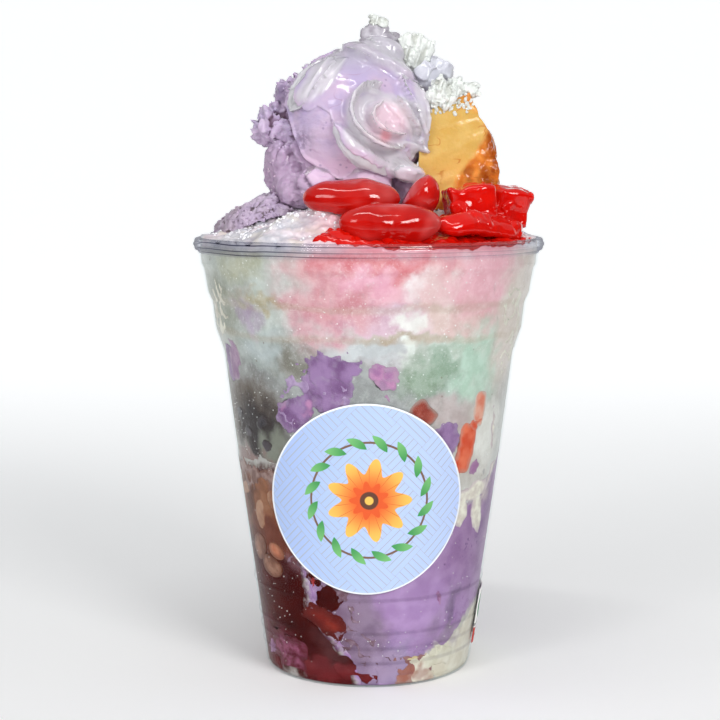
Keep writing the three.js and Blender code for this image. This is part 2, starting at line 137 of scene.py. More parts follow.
def find_socket(sockets, key):
    """A node's socket by its number, its identifier or its name."""
    if isinstance(key, int):
        return sockets[key]
    by_identifier = {socket.identifier: socket for socket in sockets}
    return by_identifier[key] if key in by_identifier else sockets[key]


def tint(red, green, blue):
    """A colour as a maker names it, 0 to 255 a channel, in the renderer's own numbers."""
    def linear(channel):
        share = channel / 255
        return share / 12.92 if share <= 0.04045 else ((share + 0.055) / 1.055) ** 2.4

    return (linear(red), linear(green), linear(blue), 1.0)


print("a screen grey of 188 is", round(tint(188, 188, 188)[0], 2), "of full white to the renderer")


# %% The boards that nodes are set on
class Board:
    """A tree of nodes, with one way of adding a node."""

    def __init__(self, tree):
        self.tree = tree

    def node(self, kind, settings=None, values=None, output=0):
        """Adds a node: first its settings, then the numbers or links of its sockets."""
        node = self.tree.nodes.new(kind)
        for key, setting in (settings or {}).items():
            setattr(node, key, setting)
        for key, value in (values or {}).items():
            socket = find_socket(node.inputs, key)
            if isinstance(value, Value):
                self.tree.links.new(value.socket, socket)
            else:
                socket.default_value = value
        return Value(self, find_socket(node.outputs, output)) if len(node.outputs) else None


# %% One material
class Finish(Board):
    """One material. Places on the object are in millimetres."""

    def __init__(self, name):
        self.material = bpy.data.materials.new(name)
        self.material.use_nodes = True
        super().__init__(self.material.node_tree)
        self.tree.nodes.clear()
        place = self.node("ShaderNodeTexCoord", output="Object")
        self.place = self.node("ShaderNodeVectorMath", {"operation": "SCALE"}, {0: place, "Scale": 1 / MM})

    def axes(self):
        """The three numbers of a place."""
        return [self.node("ShaderNodeSeparateXYZ", {}, {0: self.place}, axis) for axis in "XYZ"]

    def layer(self, name):
        """A number that the mesh carries on its corners."""
        return self.node("ShaderNodeAttribute", {"attribute_name": name}, {}, "Fac")

    def noise(self, size, detail=2.0, at=None, rough=0.5):
        """Cloudy numbers between 0 and 1, mostly near 0.5, with features of a size in mm."""
        values = {"Vector": at or self.place, "Scale": 1 / size, "Detail": detail, "Roughness": rough}
        return self.node("ShaderNodeTexNoise", {}, values, "Fac")

    def cells(self, size, at=None):
        """The distance to the nearest of many scattered spots, in shares of their spacing."""
        values = {"Vector": at or self.place, "Scale": 1 / size}
        return self.node("ShaderNodeTexVoronoi", {}, values, "Distance")

    def stretched(self, x, y, z):
        """The place, drawn out or pressed together along each axis."""
        return self.node("ShaderNodeVectorMath", {"operation": "MULTIPLY"}, {0: self.place, 1: (x, y, z)})

    def mix(self, share, first, second):
        """A colour between two others."""
        values = {"Factor_Float": share, "A_Color": first, "B_Color": second}
        return self.node("ShaderNodeMix", {"data_type": "RGBA"}, values, "Result_Color")

    def clouded(self, size, detail, span, first, second):
        """Two tones in clouds of a size in mm, with the soft step between them over a span."""
        return self.mix(self.noise(size, detail).smooth(*span), tint(*first), tint(*second))

    def slant(self, blend=0.5):
        """0 where the surface faces the eye and 1 where it is seen edge-on."""
        return self.node("ShaderNodeLayerWeight", {}, {"Blend": blend}, "Facing")

    def bumps(self, size, detail, depth, strength=1.0):
        """Small cloudy relief, with a size and a depth in mm."""
        values = {"Height": self.noise(size, detail), "Distance": depth * MM, "Strength": strength}
        return self.node("ShaderNodeBump", {}, values)

    def surface(self, colour, roughness, normal=None, **fixed):
        """The surface itself. What is in fixed is the same all over."""
        values = {"Base Color": colour, "Roughness": roughness, "Specular IOR Level": 0.15}
        if normal:
            values["Normal"] = normal
        values.update({key.replace("_", " "): value for key, value in fixed.items()})
        return self.node("ShaderNodeBsdfPrincipled", {}, values)

    def done(self, shader):
        """Ends the board in its output and gives the material back."""
        self.node("ShaderNodeOutputMaterial", {}, {"Surface": shader})
        print("finish:", self.material.name, "-", len(self.tree.nodes), "nodes")
        return self.material


# %% Trees of Geometry Nodes
def evaluated_mesh(thing):
    """A plain mesh of an object with its modifiers carried out."""
    graph = bpy.context.evaluated_depsgraph_get()
    return bpy.data.meshes.new_from_object(thing.evaluated_get(graph))


class Pattern(Board):
    """One Geometry Nodes tree with named inputs, for what repeats or follows a rule."""

    def __init__(self, name, inputs):
        super().__init__(bpy.data.node_groups.new(name, "GeometryNodeTree"))
        for label, kind in inputs.items():
            self.tree.interface.new_socket(label, in_out="INPUT", socket_type="NodeSocket" + kind)
        self.tree.interface.new_socket("Result", in_out="OUTPUT", socket_type="NodeSocketGeometry")
        self.entry = self.tree.nodes.new("NodeGroupInput")

    def given(self, label):
        """One of the named inputs."""
        return Value(self, self.entry.outputs[label])

    def end(self, geometry):
        """Makes plain faces of all copies and gives them their finish."""
        real = self.node("GeometryNodeRealizeInstances", {}, {0: geometry})
        dressed = self.node("GeometryNodeSetMaterial", {}, {0: real, "Material": self.given("Finish")})
        self.node("NodeGroupOutput", {}, {0: dressed})

    def grow(self, base, **inputs):
        """Runs the tree on a mesh and gives the plain mesh that it makes."""
        carrier = bpy.data.objects.new("carrier", base)
        bpy.context.scene.collection.objects.link(carrier)
        modifier = carrier.modifiers.new("grow", "NODES")
        modifier.node_group = self.tree
        for item in self.tree.interface.items_tree:
            if item.in_out == "INPUT" and item.name in inputs:
                modifier[item.identifier] = inputs[item.name]
        mesh = evaluated_mesh(carrier)
        bpy.data.objects.remove(carrier)
        print("grown:", self.tree.name, "-", len(mesh.polygons), "faces")
        return mesh


# %% [markdown]
# ## Floor and light
#
# Food looks wet when something bright is mirrored in it, and soft when most of its light comes
# from all around. So the dessert stands in a pale bowl-shaped studio under an even sky, with a
# large soft lamp above on the right and weaker ones on the left and in front, which are not
# mirrored in anything. A narrow lamp overhead draws the long thin highlights on jelly and palm
# fruit, and a small one on the left the short ones. Behind the dessert the studio glows white. At
# its sides and in front it is grey, or its mirror image would lie over the dark syrup like fog.
#
# The studio is a turned shape, as the cup is. Geometry Nodes turn it: a profile curve is swept
# round a circle so small that only its direction counts.

# %% Turned shapes
turning = Pattern("turning", {"Profile": "Object", "Sides": "Int", "Finish": "Material"})
profile_shape = turning.node("GeometryNodeObjectInfo", {}, {"Object": turning.given("Profile")}, "Geometry")
circle = {"Resolution": turning.given("Sides"), "Radius": 1e-7}
axis = turning.node("GeometryNodeCurvePrimitiveCircle", {}, circle)
swept = turning.node("GeometryNodeCurveToMesh", {}, {"Curve": axis, "Profile Curve": profile_shape})
turning.end(turning.node("GeometryNodeMergeByDistance", {}, {0: swept, "Distance": 1e-6}))


def turned(profile, sides, finish):
    """A closed turned mesh from radii and heights in mm, listed upwards along its outside."""
    curve = bpy.data.curves.new("profile", "CURVE")
    curve.dimensions = "3D"
    spline = curve.splines.new("POLY")
    spline.points.add(len(profile) - 1)
    for point, (radius, height) in zip(spline.points, profile):
        point.co = (radius * MM, -height * MM, 0, 1)
    shape = bpy.data.objects.new("profile", curve)
    bpy.context.scene.collection.objects.link(shape)
    mesh = turning.grow(bpy.data.meshes.new("blank"), Profile=shape, Sides=sides, Finish=finish)
    bpy.data.objects.remove(shape)
    return mesh


# %% The studio
studio = Finish("studio white")
x, y, _ = studio.axes()
behind = y.smooth(500, 900)
near = y.smooth(-420, -180) * x.math("ABSOLUTE").smooth(700, 350)
grey = studio.mix(near.math("MAXIMUM", behind), tint(112, 113, 114), tint(246, 246, 246))
brightening = behind.math("MAXIMUM", near * y.smooth(-200, 700))
glow = studio.mix(brightening, tint(0, 0, 0), tint(190, 192, 193))
STUDIO_WHITE = studio.done(studio.surface(grey, 0.75, Emission_Color=glow, Emission_Strength=1.0))

STUDIO_FLOOR, STUDIO_RADIUS, STUDIO_HEIGHT = 900, 1700, 800        # millimetres
bend = [(STUDIO_FLOOR + (STUDIO_RADIUS - STUDIO_FLOOR) * math.sin(turn), STUDIO_HEIGHT * (1 - math.cos(turn)))
        for turn in np.linspace(0, math.pi / 2, 24)]
studio_mesh = turned([(0, 0), (STUDIO_FLOOR / 2, 0), *bend], 96, STUDIO_WHITE)
studio_mesh.flip_normals()
studio_mesh.shade_smooth()
floor = bpy.data.objects.new("studio_floor", studio_mesh)
bpy.context.scene.collection.objects.link(floor)

SKY_STRENGTH = 0.38
sky = bpy.data.worlds.new("sky")
sky.use_nodes = True
sky.node_tree.nodes["Background"].inputs["Color"].default_value = tint(250, 251, 253)
sky.node_tree.nodes["Background"].inputs["Strength"].default_value = SKY_STRENGTH
bpy.context.scene.world = sky


def lamp(name, place, size, power, aim=(0, 0, 100), mirrored=True):
    """A soft rectangular lamp at a place in mm, turned towards the dessert."""
    light = bpy.data.lights.new(name, "AREA")
    light.shape = "RECTANGLE"
    light.size, light.size_y = (side * MM for side in size)
    light.energy = power
    thing = bpy.data.objects.new(name, light)
    thing.location = Vector(place) * MM
    thing.rotation_euler = (Vector(aim) - Vector(place)).to_track_quat("-Z", "Y").to_euler()
    thing.visible_glossy = mirrored
    bpy.context.scene.collection.objects.link(thing)


lamp("key", (330, -560, 400), (240, 200), 2.4)
lamp("fill", (-420, -520, 190), (300, 300), 1.15, mirrored=False)
lamp("front", (-40, -760, 130), (500, 300), 1.45, mirrored=False)
lamp("window", (-330, -430, 380), (110, 170), 0.35)
lamp("strip", (-60, -140, 620), (420, 40), 0.6, aim=(0, -20, 140))
print("studio ready")

# %% [markdown]
# ## Skins: meshes as tables of numbers
#
# Pushing tens of thousands of corners about one by one is slow, so a piece under work is a
# table of places in millimetres, which numpy moves all at once. A CAD node's faces are long
# and thin. Blender's voxel remesh gives a copy of it small, even squares, after the copy's
# loose triangles are merged.

# %% Random numbers that always come out the same
def random_at(cell, seed):
    """An even random number between 0 and 1 for each cell of a grid."""
    x, y, z = (cell[:, k].astype(np.int64) for k in range(3))
    mixed = (x * 73856093) ^ (y * 19349663) ^ (z * 83492791) ^ (seed * 26544357)
    mixed = (mixed ^ (mixed >> 13)) * 1274126177
    return ((mixed ^ (mixed >> 16)) & 0xFFFF) / 0xFFFF


def cloud(points, size, seed=0, layers=2):
    """Smooth random numbers between about -1 and 1, with swells of a size in mm."""
    total = np.zeros(len(points))
    for layer in range(layers):
        at = points * (2 ** layer / size) + 17.3 * layer
        cell = np.floor(at)
        blend = (at - cell) ** 2 * (3 - 2 * (at - cell))
        for corner in np.ndindex(2, 2, 2):
            share = np.prod(np.where(corner, blend, 1 - blend), axis=1)
            total += 0.5 ** layer * share * (2 * random_at(cell + corner, seed + 7 * layer) - 1)
    return total


def grains(points, size, seed=0):
    """The distance to the nearest of many scattered spots, in shares of their spacing."""
    at = points / size
    cell = np.floor(at)
    nearest = np.full(len(points), 9.0)
    for shift in np.ndindex(3, 3, 3):
        spot = cell + shift - 1
        centre = spot + np.stack([random_at(spot, seed + k) for k in range(3)], axis=1)
        nearest = np.minimum(nearest, np.linalg.norm(at - centre, axis=1))
    return nearest


def extremes(values):
    """The lowest and the highest of some numbers, to print."""
    return round(float(values.min()), 2), round(float(values.max()), 2)


SAMPLE_LINE = np.linspace((0, 0, 0), (60, 40, 20), 200)        # places in mm to try a pattern on
print("a cloud runs between", extremes(cloud(SAMPLE_LINE, 5)))
print("grains run between", extremes(grains(SAMPLE_LINE, 5)))


# %% Broken planes and soft steps
def facets(points, size, seed):
    """Heights, -1 to 1, of small leaning planes that meet in sharp edges."""
    at = points / size
    cell = np.floor(at)
    nearest = np.full(len(points), 9.0)
    height = np.zeros(len(points))
    for shift in np.ndindex(3, 3, 3):
        spot = cell + shift - 1
        way = at - spot - np.stack([random_at(spot, seed + k) for k in range(3)], axis=1)
        lean = np.stack([random_at(spot, seed + 3 + k) for k in range(3)], axis=1) * 2 - 1
        away = np.linalg.norm(way, axis=1)
        height = np.where(away < nearest, np.einsum("ij,ij->i", way, lean), height)
        nearest = np.minimum(nearest, away)
    return height


def step(values, low, high):
    """0 below low and 1 above high, with a soft step between them."""
    share = np.clip((values - low) / (high - low), 0, 1)
    return share * share * (3 - 2 * share)


def softened(grid, times):
    """Each number of a grid drawn towards the middle of its neighbours."""
    for _ in range(times):
        wide = np.pad(grid, 1, mode="edge")
        grid = (grid + wide[:-2, 1:-1] + wide[2:, 1:-1] + wide[1:-1, :-2] + wide[1:-1, 2:]) / 5
    return grid


print("broken planes run between", extremes(facets(SAMPLE_LINE, 5, 0)))


# %% The skin of a piece
class Skin:
    """The corners of a piece in mm and its four-sided faces."""

    def __init__(self, points, faces):
        self.points = np.asarray(points, float)
        self.faces = np.asarray(faces)

    def gathered(self, corners, values):
        """Sums values, one row each, onto the corners that they belong to."""
        columns = [np.bincount(corners, column, len(self.points)) for column in values.T]
        return np.stack(columns, axis=1)

    def normals(self):
        """The direction straight out of the surface at each corner."""
        a, b, c, d = (self.points[self.faces[:, k]] for k in range(4))
        facing = np.cross(c - a, d - b)
        total = self.gathered(self.faces.T.ravel(), np.tile(facing, (4, 1)))
        return total / np.maximum(np.linalg.norm(total, axis=1, keepdims=True), 1e-9)

    def swell(self, amount):
        """Moves each corner outwards by its own amount in mm."""
        self.points += self.normals() * np.broadcast_to(amount, len(self.points))[:, None]
        return self

    def smooth(self, times, share=0.6):
        """Draws each corner towards the middle of its neighbours."""
        first, second = self.faces.ravel(), np.roll(self.faces, -1, axis=1).ravel()
        ends = np.concatenate([first, second])
        count = np.maximum(np.bincount(ends, minlength=len(self.points)), 1)[:, None]
        for _ in range(times):
            middle = self.gathered(ends, self.points[np.concatenate([second, first])]) / count
            self.points += share * (middle - self.points)
        return self

    def outward(self):
        """Turns all faces over if they look inwards."""
        a, b, c, d = (self.points[self.faces[:, k]] for k in range(4))
        if np.einsum("ij,ij->", a + c, np.cross(c - a, d - b)) < 0:
            self.faces = self.faces[:, ::-1]
        return self


# %% From a CAD node to a skin
# The spacing of a skin's corners in mm: wide on broad fillings, fine on small pieces
CELL = {"filling": 0.8, "ice": 0.63, "glaze": 0.5, "piece": 0.42, "jelly": 0.38, "strip": 0.36, "flake": 0.3}


def evened(nodes, cell):
    """The skin of CAD nodes, merged, joined and cut into even squares of a size in mm."""
    graph = bmesh.new()
    for node in nodes:
        graph.from_mesh(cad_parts[node].data)
    bmesh.ops.remove_doubles(graph, verts=graph.verts, dist=0.001 * MM)
    mesh = bpy.data.meshes.new("work")
    graph.to_mesh(mesh)
    graph.free()
    work = bpy.data.objects.new("work", mesh)
    bpy.context.scene.collection.objects.link(work)
    remesh = work.modifiers.new("even", "REMESH")
    remesh.mode = "VOXEL"
    remesh.voxel_size = cell * MM
    even = evaluated_mesh(work)
    bpy.data.objects.remove(work)
    points = np.zeros(3 * len(even.vertices))
    even.vertices.foreach_get("co", points)
    faces = np.zeros(len(even.loops), int)
    even.loops.foreach_get("vertex_index", faces)
    return Skin(points.reshape(-1, 3) / MM, faces.reshape(-1, 4))


def tree_of(skin):
    """The faces of a skin, ready to be hit by rays."""
    return BVHTree.FromPolygons(skin.points.tolist(), skin.faces.tolist())


print("corners on a square centimetre of ice:", round(100 / CELL["ice"] ** 2))


# %% Sheets
def slab(top, under):
    """A closed sheet between two grids of places, its outside and its inside."""
    rows, columns = top.shape[:2]
    grid = np.arange(rows * columns).reshape(rows, columns)
    squares = np.stack([grid[:-1, :-1], grid[1:, :-1], grid[1:, 1:], grid[:-1, 1:]], axis=-1).reshape(-1, 4)
    border = np.concatenate([grid[0, :-1], grid[:-1, -1], grid[-1, :0:-1], grid[:0:-1, 0]])
    following = np.roll(border, -1)
    under_side = rows * columns
    rim = np.stack([border, following, following + under_side, border + under_side], axis=1)
    faces = np.concatenate([squares, squares[:, ::-1] + under_side, rim])
    points = np.concatenate([top.reshape(-1, 3), under.reshape(-1, 3)])
    return Skin(points, faces).outward()


# %% Into the scene
def set_piece(name, mesh, finish, nodes=(), layers=None):
    """Puts a finished mesh in the scene, on the one body, in place of its CAD nodes."""
    for layer, values in (layers or {}).items():
        mesh.attributes.new(layer, "FLOAT", "POINT").data.foreach_set("value", np.asarray(values, np.float32))
    if not mesh.materials:
        mesh.materials.append(finish)
    mesh.shade_smooth()
    thing = bpy.data.objects.new(name, mesh)
    bpy.context.scene.collection.objects.link(thing)
    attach(thing, "root")
    if nodes:
        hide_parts(*nodes)
    print("piece:", name, "-", len(mesh.polygons), "faces")
    return thing


def set_skin(name, skin, finish, nodes=(), layers=None):
    """Puts a finished skin in the scene."""
    mesh = bpy.data.meshes.new(name)
    mesh.from_pydata((skin.points * MM).tolist(), [], skin.faces.tolist())
    return set_piece(name, mesh, finish, nodes, layers)


# %% [markdown]
# ## The wall, measured on the frame
#
# The fillings press on the wall, and the labels lie on it, so all of them need its radius at
# any height. The CAD cup is the only true source, so rays are sent at it from outside.

# %% The radius of the wall
def wall_rays(count=400):
    """Heights from foot to lip and the cup's outer radius at each of them, in mm."""
    cup_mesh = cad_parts["cup"].data
    corners = [v.co for v in cup_mesh.vertices]
    tree = BVHTree.FromPolygons(corners, [list(p.vertices) for p in cup_mesh.polygons])
    top = max(v.z for v in corners)
    levels = np.linspace(0.02 * MM, top - 0.02 * MM, count)
    outside, beside = 200 * MM, 1e-7          # a hair beside the axis, so that no ray runs along an edge
    starts = [Vector((outside, beside, level)) for level in levels]
    hits = [tree.ray_cast(start, Vector((-1, 0, 0)))[0].x for start in starts]
    return levels / MM, np.array(hits) / MM


WALL_HEIGHTS, WALL_RADII = wall_rays()
WALL_THICK = 0.85
CUP_TOP = WALL_HEIGHTS[-1] + 0.02
LIP_BASE = 116.9          # the rolled lip starts here


def wall_radius(height):
    """Outer radius of the wall under the lip."""
    return np.interp(np.minimum(height, LIP_BASE - 0.3), WALL_HEIGHTS, WALL_RADII)


print("foot", round(float(wall_radius(1)), 2), "shoulder", round(float(wall_radius(96)), 2),
      "mouth", round(float(WALL_RADII.max()), 2), "height", round(CUP_TOP, 2))

# %% [markdown]
# ## The cup
#
# A takeaway cup is drawn from a sheet of clear plastic less than a millimetre thick. It could be
# made of real glass shaders, but then no lamp would reach the food inside without very long
# renders. A wall this thin hardly bends what is behind it, so it is mostly transparent, with a
# mirror on top that grows stronger where the wall is seen aslant. Fresnel's own rule would turn
# the inner face into a full mirror there, as no ray is bent on its way in, so the share of the
# mirror is the fifth power of the slant, which treats both faces alike.
#
# Its shape is a profile from the frame, with the moulded ridges near the foot, small radii at
# the shoulder and a round rolled lip. Fine grooves run along the lip, and where they lie aslant
# they show as thin dark lines. Painted shade adds dark lines at the grooves' heights, a dimmer
# left side of the lip and dim bands on the moulded rings. The turning tree from the studio
# turns the profile.

# %% Clear plastic
def thin_plastic(board, clear, dim, dimmed, mirrored, rough):
    """Plastic too thin to bend light: two see-through tones, with a mirror on top."""
    tones = [board.node("ShaderNodeBsdfTransparent", {}, {"Color": tint(*tone)}) for tone in (clear, dim)]
    see_through = board.node("ShaderNodeMixShader", {}, {0: dimmed, 1: tones[0], 2: tones[1]})
    mirror = board.node("ShaderNodeBsdfAnisotropic", {}, {"Color": (1, 1, 1, 1), "Roughness": rough})
    return board.done(board.node("ShaderNodeMixShader", {}, {0: mirrored, 1: see_through, 2: mirror}))


def lines_at(height, levels, outer, inner):
    """1 on soft lines at some heights and 0 between them."""
    return sum((height - level).math("ABSOLUTE").smooth(outer, inner) for level in levels)


RIDGES = (7.0, 11.2, 15.5, 25.0)         # heights of the moulded rings
plastic = Finish("clear cup plastic")
# Painted shade: a dim see-through tone on the moulded rings, for the light that they bend.
painted_ring_shade = lines_at(plastic.axes()[2], RIDGES, 0.8, 0.2) * plastic.noise(9, 2) * 0.5
mirrored = plastic.slant() ** 5 * 0.5 + 0.004
CLEAR_PLASTIC = thin_plastic(plastic, (247, 250, 250), (176, 172, 180), painted_ring_shade, mirrored, 0.07)

LIP_SHADE_LINES = (117.5, 118.6, 120.1)      # heights of the lip's painted dark lines
rolled = Finish("rolled lip plastic")
x, _, z = rolled.axes()
# Painted shade: thin dark lines at these heights, stronger on the left, and the whole lip dimmer on its left.
painted_groove_lines = lines_at(z + (rolled.noise(20, 2) - 0.5) * 0.8, LIP_SHADE_LINES, 0.22, 0.08)
painted_lip_shade = painted_groove_lines * (x.smooth(25, -35) * 0.6 + 0.25) + x.smooth(-5, -45) * 0.22
slant = rolled.slant()
dimmed = (slant.smooth(0.64, 0.94) * 0.9).math("MAXIMUM", painted_lip_shade)
LIP_PLASTIC = thin_plastic(rolled, (244, 245, 248), (112, 114, 134), dimmed, slant ** 4 * 0.3 + 0.04, 0.06)

# %% The cup's profile
FOOT_OUTER, FOOT_INNER, FLOOR_UNDER, FLOOR_TOP = 28.6, 26.0, 2.0, 3.0
LIP = {"radius": 47.5, "height": 119.15, "out": 1.35, "up": 1.75, "grooves": 7, "deep": 0.1}


def rounded_wall(heights):
    """The wall with soft radii at its steps and a fine ridge at each moulded ring."""
    soft = np.mean([wall_radius(heights + shift) for shift in np.linspace(-0.7, 0.7, 9)], axis=0)
    rings = sum(0.2 * np.exp(-((heights - ring) / 0.45) ** 2) for ring in RIDGES)
    return soft + rings


climb = np.concatenate([np.arange(1.4, 30, 0.4), np.arange(30, 88, 2.5), np.arange(88, 117.2, 0.45)])
lip_turns = np.radians(np.linspace(-78, 132, 46))         # the roll starts outside, below, and ends inside
descent = np.concatenate([np.arange(117, 88, -0.6), np.arange(88, 4, -3.0)])
cup_profile = [(0, FLOOR_UNDER), (FOOT_INNER - 0.6, FLOOR_UNDER), (FOOT_INNER, 0), (FOOT_OUTER, 0)]
cup_profile += list(zip(rounded_wall(climb), climb))
for turn in lip_turns:
    groove = 1 + LIP["deep"] / LIP["out"] * math.cos(LIP["grooves"] * turn)
    cup_profile.append((LIP["radius"] + LIP["out"] * groove * math.cos(turn),
                        LIP["height"] + LIP["up"] * groove * math.sin(turn)))
cup_profile += list(zip(rounded_wall(descent) - WALL_THICK, descent))
cup_profile += [(wall_radius(4) - WALL_THICK - 1, FLOOR_TOP), (0, FLOOR_TOP)]
CUP_SIDES = 160
cup_mesh = turned(cup_profile, CUP_SIDES, CLEAR_PLASTIC)
cup_mesh.materials.append(LIP_PLASTIC)
for face in cup_mesh.polygons:
    face.material_index = int(face.center.z > LIP_BASE * MM)
set_piece("cup_wall", cup_mesh, CLEAR_PLASTIC, ["cup"])

# %% [markdown]
# ## The labels
#
# The round label is a printed sticker that bends with the wall. Its mesh is a square grid drawn
# into a disc, which has no pole in its middle, laid on the wall at the place that the frame
# gives. Each corner carries its place on the flat paper in mm, so the print is drawn on the
# paper and bends with it.
#
# The ground is pale blue with thin grey lines in the common plank weave: square fields, turned
# by 45 degrees, whose lines run one way and then the other. A rosette in a ring of leaves fills
# its middle.

# %% The paper's shape
def disc_grid(count):
    """A square grid of numbers, drawn into a disc of radius 1."""
    u, v = np.meshgrid(np.linspace(-1, 1, count), np.linspace(-1, 1, count))
    return u * np.sqrt(1 - v * v / 2), v * np.sqrt(1 - u * u / 2)


LABEL_LIFT, PAPER_THICK = 0.5, 0.3        # outside of the paper over the wall, and its thickness


def round_label():
    """The round label's skin, and the place of each corner on the flat paper."""
    low, high = (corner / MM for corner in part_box("label_front"))
    a, b = disc_grid(97)
    x = (low.x + high.x) / 2 + a * (high.x - low.x) / 2
    z = (low.z + high.z) / 2 + b * (high.z - low.z) / 2

    def sheet(lift):
        radius = wall_radius(z) + lift
        return np.stack([x, -np.sqrt(radius ** 2 - x ** 2), z], axis=-1)

    radius = wall_radius(z)
    across = radius * np.arcsin(x / radius)
    up = z - (low.z + high.z) / 2
    layers = {"across": across, "up": up, "edge": np.hypot(a, b)}
    skin = slab(sheet(LABEL_LIFT), sheet(LABEL_LIFT - PAPER_THICK))
    return skin, {name: np.tile(values.ravel(), 2) for name, values in layers.items()}


def side_label():
    """The small label low on the right, its corners as on the flat paper."""
    low, high = (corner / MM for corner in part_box("label_side"))
    middle = math.atan2(high.x, -(low.y + high.y) / 2)
    width, height = high.y - low.y, high.z - low.z
    across, up = np.meshgrid(np.linspace(-width / 2, width / 2, 61), np.linspace(-height / 2, height / 2, 41))
    z = (low.z + high.z) / 2 + up
    turn = middle + across / wall_radius(z)

    def sheet(lift):
        radius = wall_radius(z) + lift
        return np.stack([radius * np.sin(turn), -radius * np.cos(turn), z], axis=-1)

    layers = {"across": across, "up": up}
    skin = slab(sheet(LABEL_LIFT), sheet(LABEL_LIFT - PAPER_THICK))
    return skin, {name: np.tile(values.ravel(), 2) for name, values in layers.items()}


# %% The print on the round label
def round_print():
    """A plank weave, and on it a rosette in a ring of leaves."""
    board = Finish("round label print")
    across, up, edge = board.layer("across"), board.layer("up"), board.layer("edge")

    field, gap = 10.0, 1.667                  # the weave's square fields and the gap between lines
    first, second = (across + up) / math.sqrt(2), (across - up) / math.sqrt(2)
    odd = ((first / field).math("FLOOR") + (second / field).math("FLOOR")).math("PINGPONG", 1)
    lines = [((way / gap).math("FRACT") - 0.5).math("ABSOLUTE").smooth(0.39, 0.45) for way in (first, second)]
    weave = odd * lines[0] + (1 - odd) * lines[1]
    ground = board.mix(across.smooth(-30, 30), tint(170, 192, 234), tint(186, 205, 246))
    colour = board.mix(weave * 0.85, ground, tint(170, 174, 188))

    out = length(across, up)
    turn = up.math("ARCTAN2", across)

    petal_count = 9
    wave = (turn * petal_count).math("COSINE")
    petals = (wave * 2.1 - out + 9.6).smooth(0, 0.3)
    petal_tone = board.mix(out.smooth(3, 11.5), tint(232, 104, 52), tint(240, 190, 92))
    colour = board.mix(petals, colour, petal_tone)
    veins = wave.math("ABSOLUTE").smooth(0.16, 0.04) * out.smooth(10, 8.5) * out.smooth(4, 5)
    colour = board.mix(veins * 0.8, colour, tint(206, 96, 52))
    inner = (wave * -0.9 - out + 4.6).smooth(0, 0.3)
    colour = board.mix(inner, colour, tint(222, 92, 48))
    colour = board.mix(out.smooth(2.6, 2.3), colour, tint(98, 66, 54))
    colour = board.mix(out.smooth(1.3, 1.0), colour, tint(240, 190, 92))

    ring, leaves = 15.8, 16                   # radius of the garland and how many leaves it has
    pitch = 2 * math.pi * ring / leaves
    along = ((turn * (leaves / (2 * math.pi))).math("FRACT") - 0.5) * pitch
    aside = out - ring
    lean = math.radians(38)
    long_way = along * math.cos(lean) + aside * math.sin(lean)
    short_way = (aside * math.cos(lean) - along * math.sin(lean)).math("ABSOLUTE")
    leaf = ((1 - (long_way / 3.2) ** 2) * 1.25 - short_way).smooth(0, 0.2)
    colour = board.mix(aside.math("ABSOLUTE").smooth(0.4, 0.2), colour, tint(120, 92, 74))
    leaf_tone = board.mix(long_way.smooth(-3, 3), tint(70, 150, 86), tint(120, 186, 116))
    colour = board.mix(leaf, colour, leaf_tone)

    colour = board.mix(edge.smooth(0.98, 0.987), colour, tint(246, 249, 254))
    return board.done(board.surface(colour, 0.42, board.bumps(0.35, 3, 0.02)))


label_skin, label_layers = round_label()
set_skin("round_label", label_skin, round_print(), ["label_front"], label_layers)


# %% The print on the side label
def side_print():
    """A disc, plain bars and rows of dashes."""
    board = Finish("side label print")
    across, up = board.layer("across"), board.layer("up")
    colour = tint(243, 243, 240)
    disc = length(across + 6.8, up - 2.6).smooth(4.1, 3.8)
    colour = board.mix(disc, colour, tint(58, 140, 92))
    row = ((up / 1.7).math("FRACT") - 0.5).math("ABSOLUTE").smooth(0.28, 0.18)
    dashes = ((across / 2.3 + (up / 1.7).math("FLOOR") * 0.37).math("FRACT") - 0.4).smooth(0, 0.06)
    colour = board.mix(row * dashes * up.smooth(-1.6, -2.2) * up.smooth(-6.6, -6), colour, tint(96, 98, 104))
    bars = across.smooth(-1, -0.6) * up.smooth(-0.6, 0) * up.smooth(5.6, 5.2)
    stripe = ((across / 1.3).math("FRACT") - 0.5).math("ABSOLUTE").smooth(0.3, 0.2)
    colour = board.mix(bars * stripe, colour, tint(96, 98, 104))
    red = across.smooth(-9.2, -9.6) * up.smooth(-3.2, -3.6)
    colour = board.mix(red, colour, tint(196, 64, 60))
    return board.done(board.surface(colour, 0.45, board.bumps(0.35, 3, 0.02)))


label_skin, label_layers = side_label()
set_skin("side_label", label_skin, side_print(), ["label_side"], label_layers)

# %% [markdown]
# ## Fillings that press on the wall
#
# Ice, syrup, jam and milk lie flat against the plastic. The solids of the frame keep a small gap
# to the wall and to each other, which would show as air. So each filling swells until it meets
# its neighbours, and what lies near the wall is pushed on until it ends inside the plastic.
#
# Seen from outside, a filling is a flat picture: soft stains that ran into each other. A stain
# is set by its turn round the axis and its height, and its edge wanders by a noise. The back of
# the cup mirrors the turns of the front, but its noise is another, so it looks different.

# %% Pressing on wall and floor
WALL_TOUCH, FLOOR_TOUCH, FLOOR_NEAR = 0.55, 2.8, 5.0


def press(skin, touch=WALL_TOUCH, reach=2.2):
    """Pushes what lies near the wall or the floor just into the plastic."""
    height = skin.points[:, 2]
    radius = np.hypot(skin.points[:, 0], skin.points[:, 1])
    low = step(height, FLOOR_NEAR, FLOOR_NEAR - 1.2)
    ring = step(radius, FOOT_INNER - 1.2, FOOT_INNER + 0.4)
    skin.points[:, 2] += low * (FLOOR_TOUCH - height - (FLOOR_TOUCH - 0.5) * ring)
    target = wall_radius(skin.points[:, 2]) - touch
    near = step(radius, target - reach, target - reach / 3)
    skin.points[:, :2] *= (1 + near * (target - radius) / np.maximum(radius, 1))[:, None]
    return skin


TURN_DRIFT, HEIGHT_DRIFT = 26, 15        # how far a stain's edge wanders, in degrees and in mm


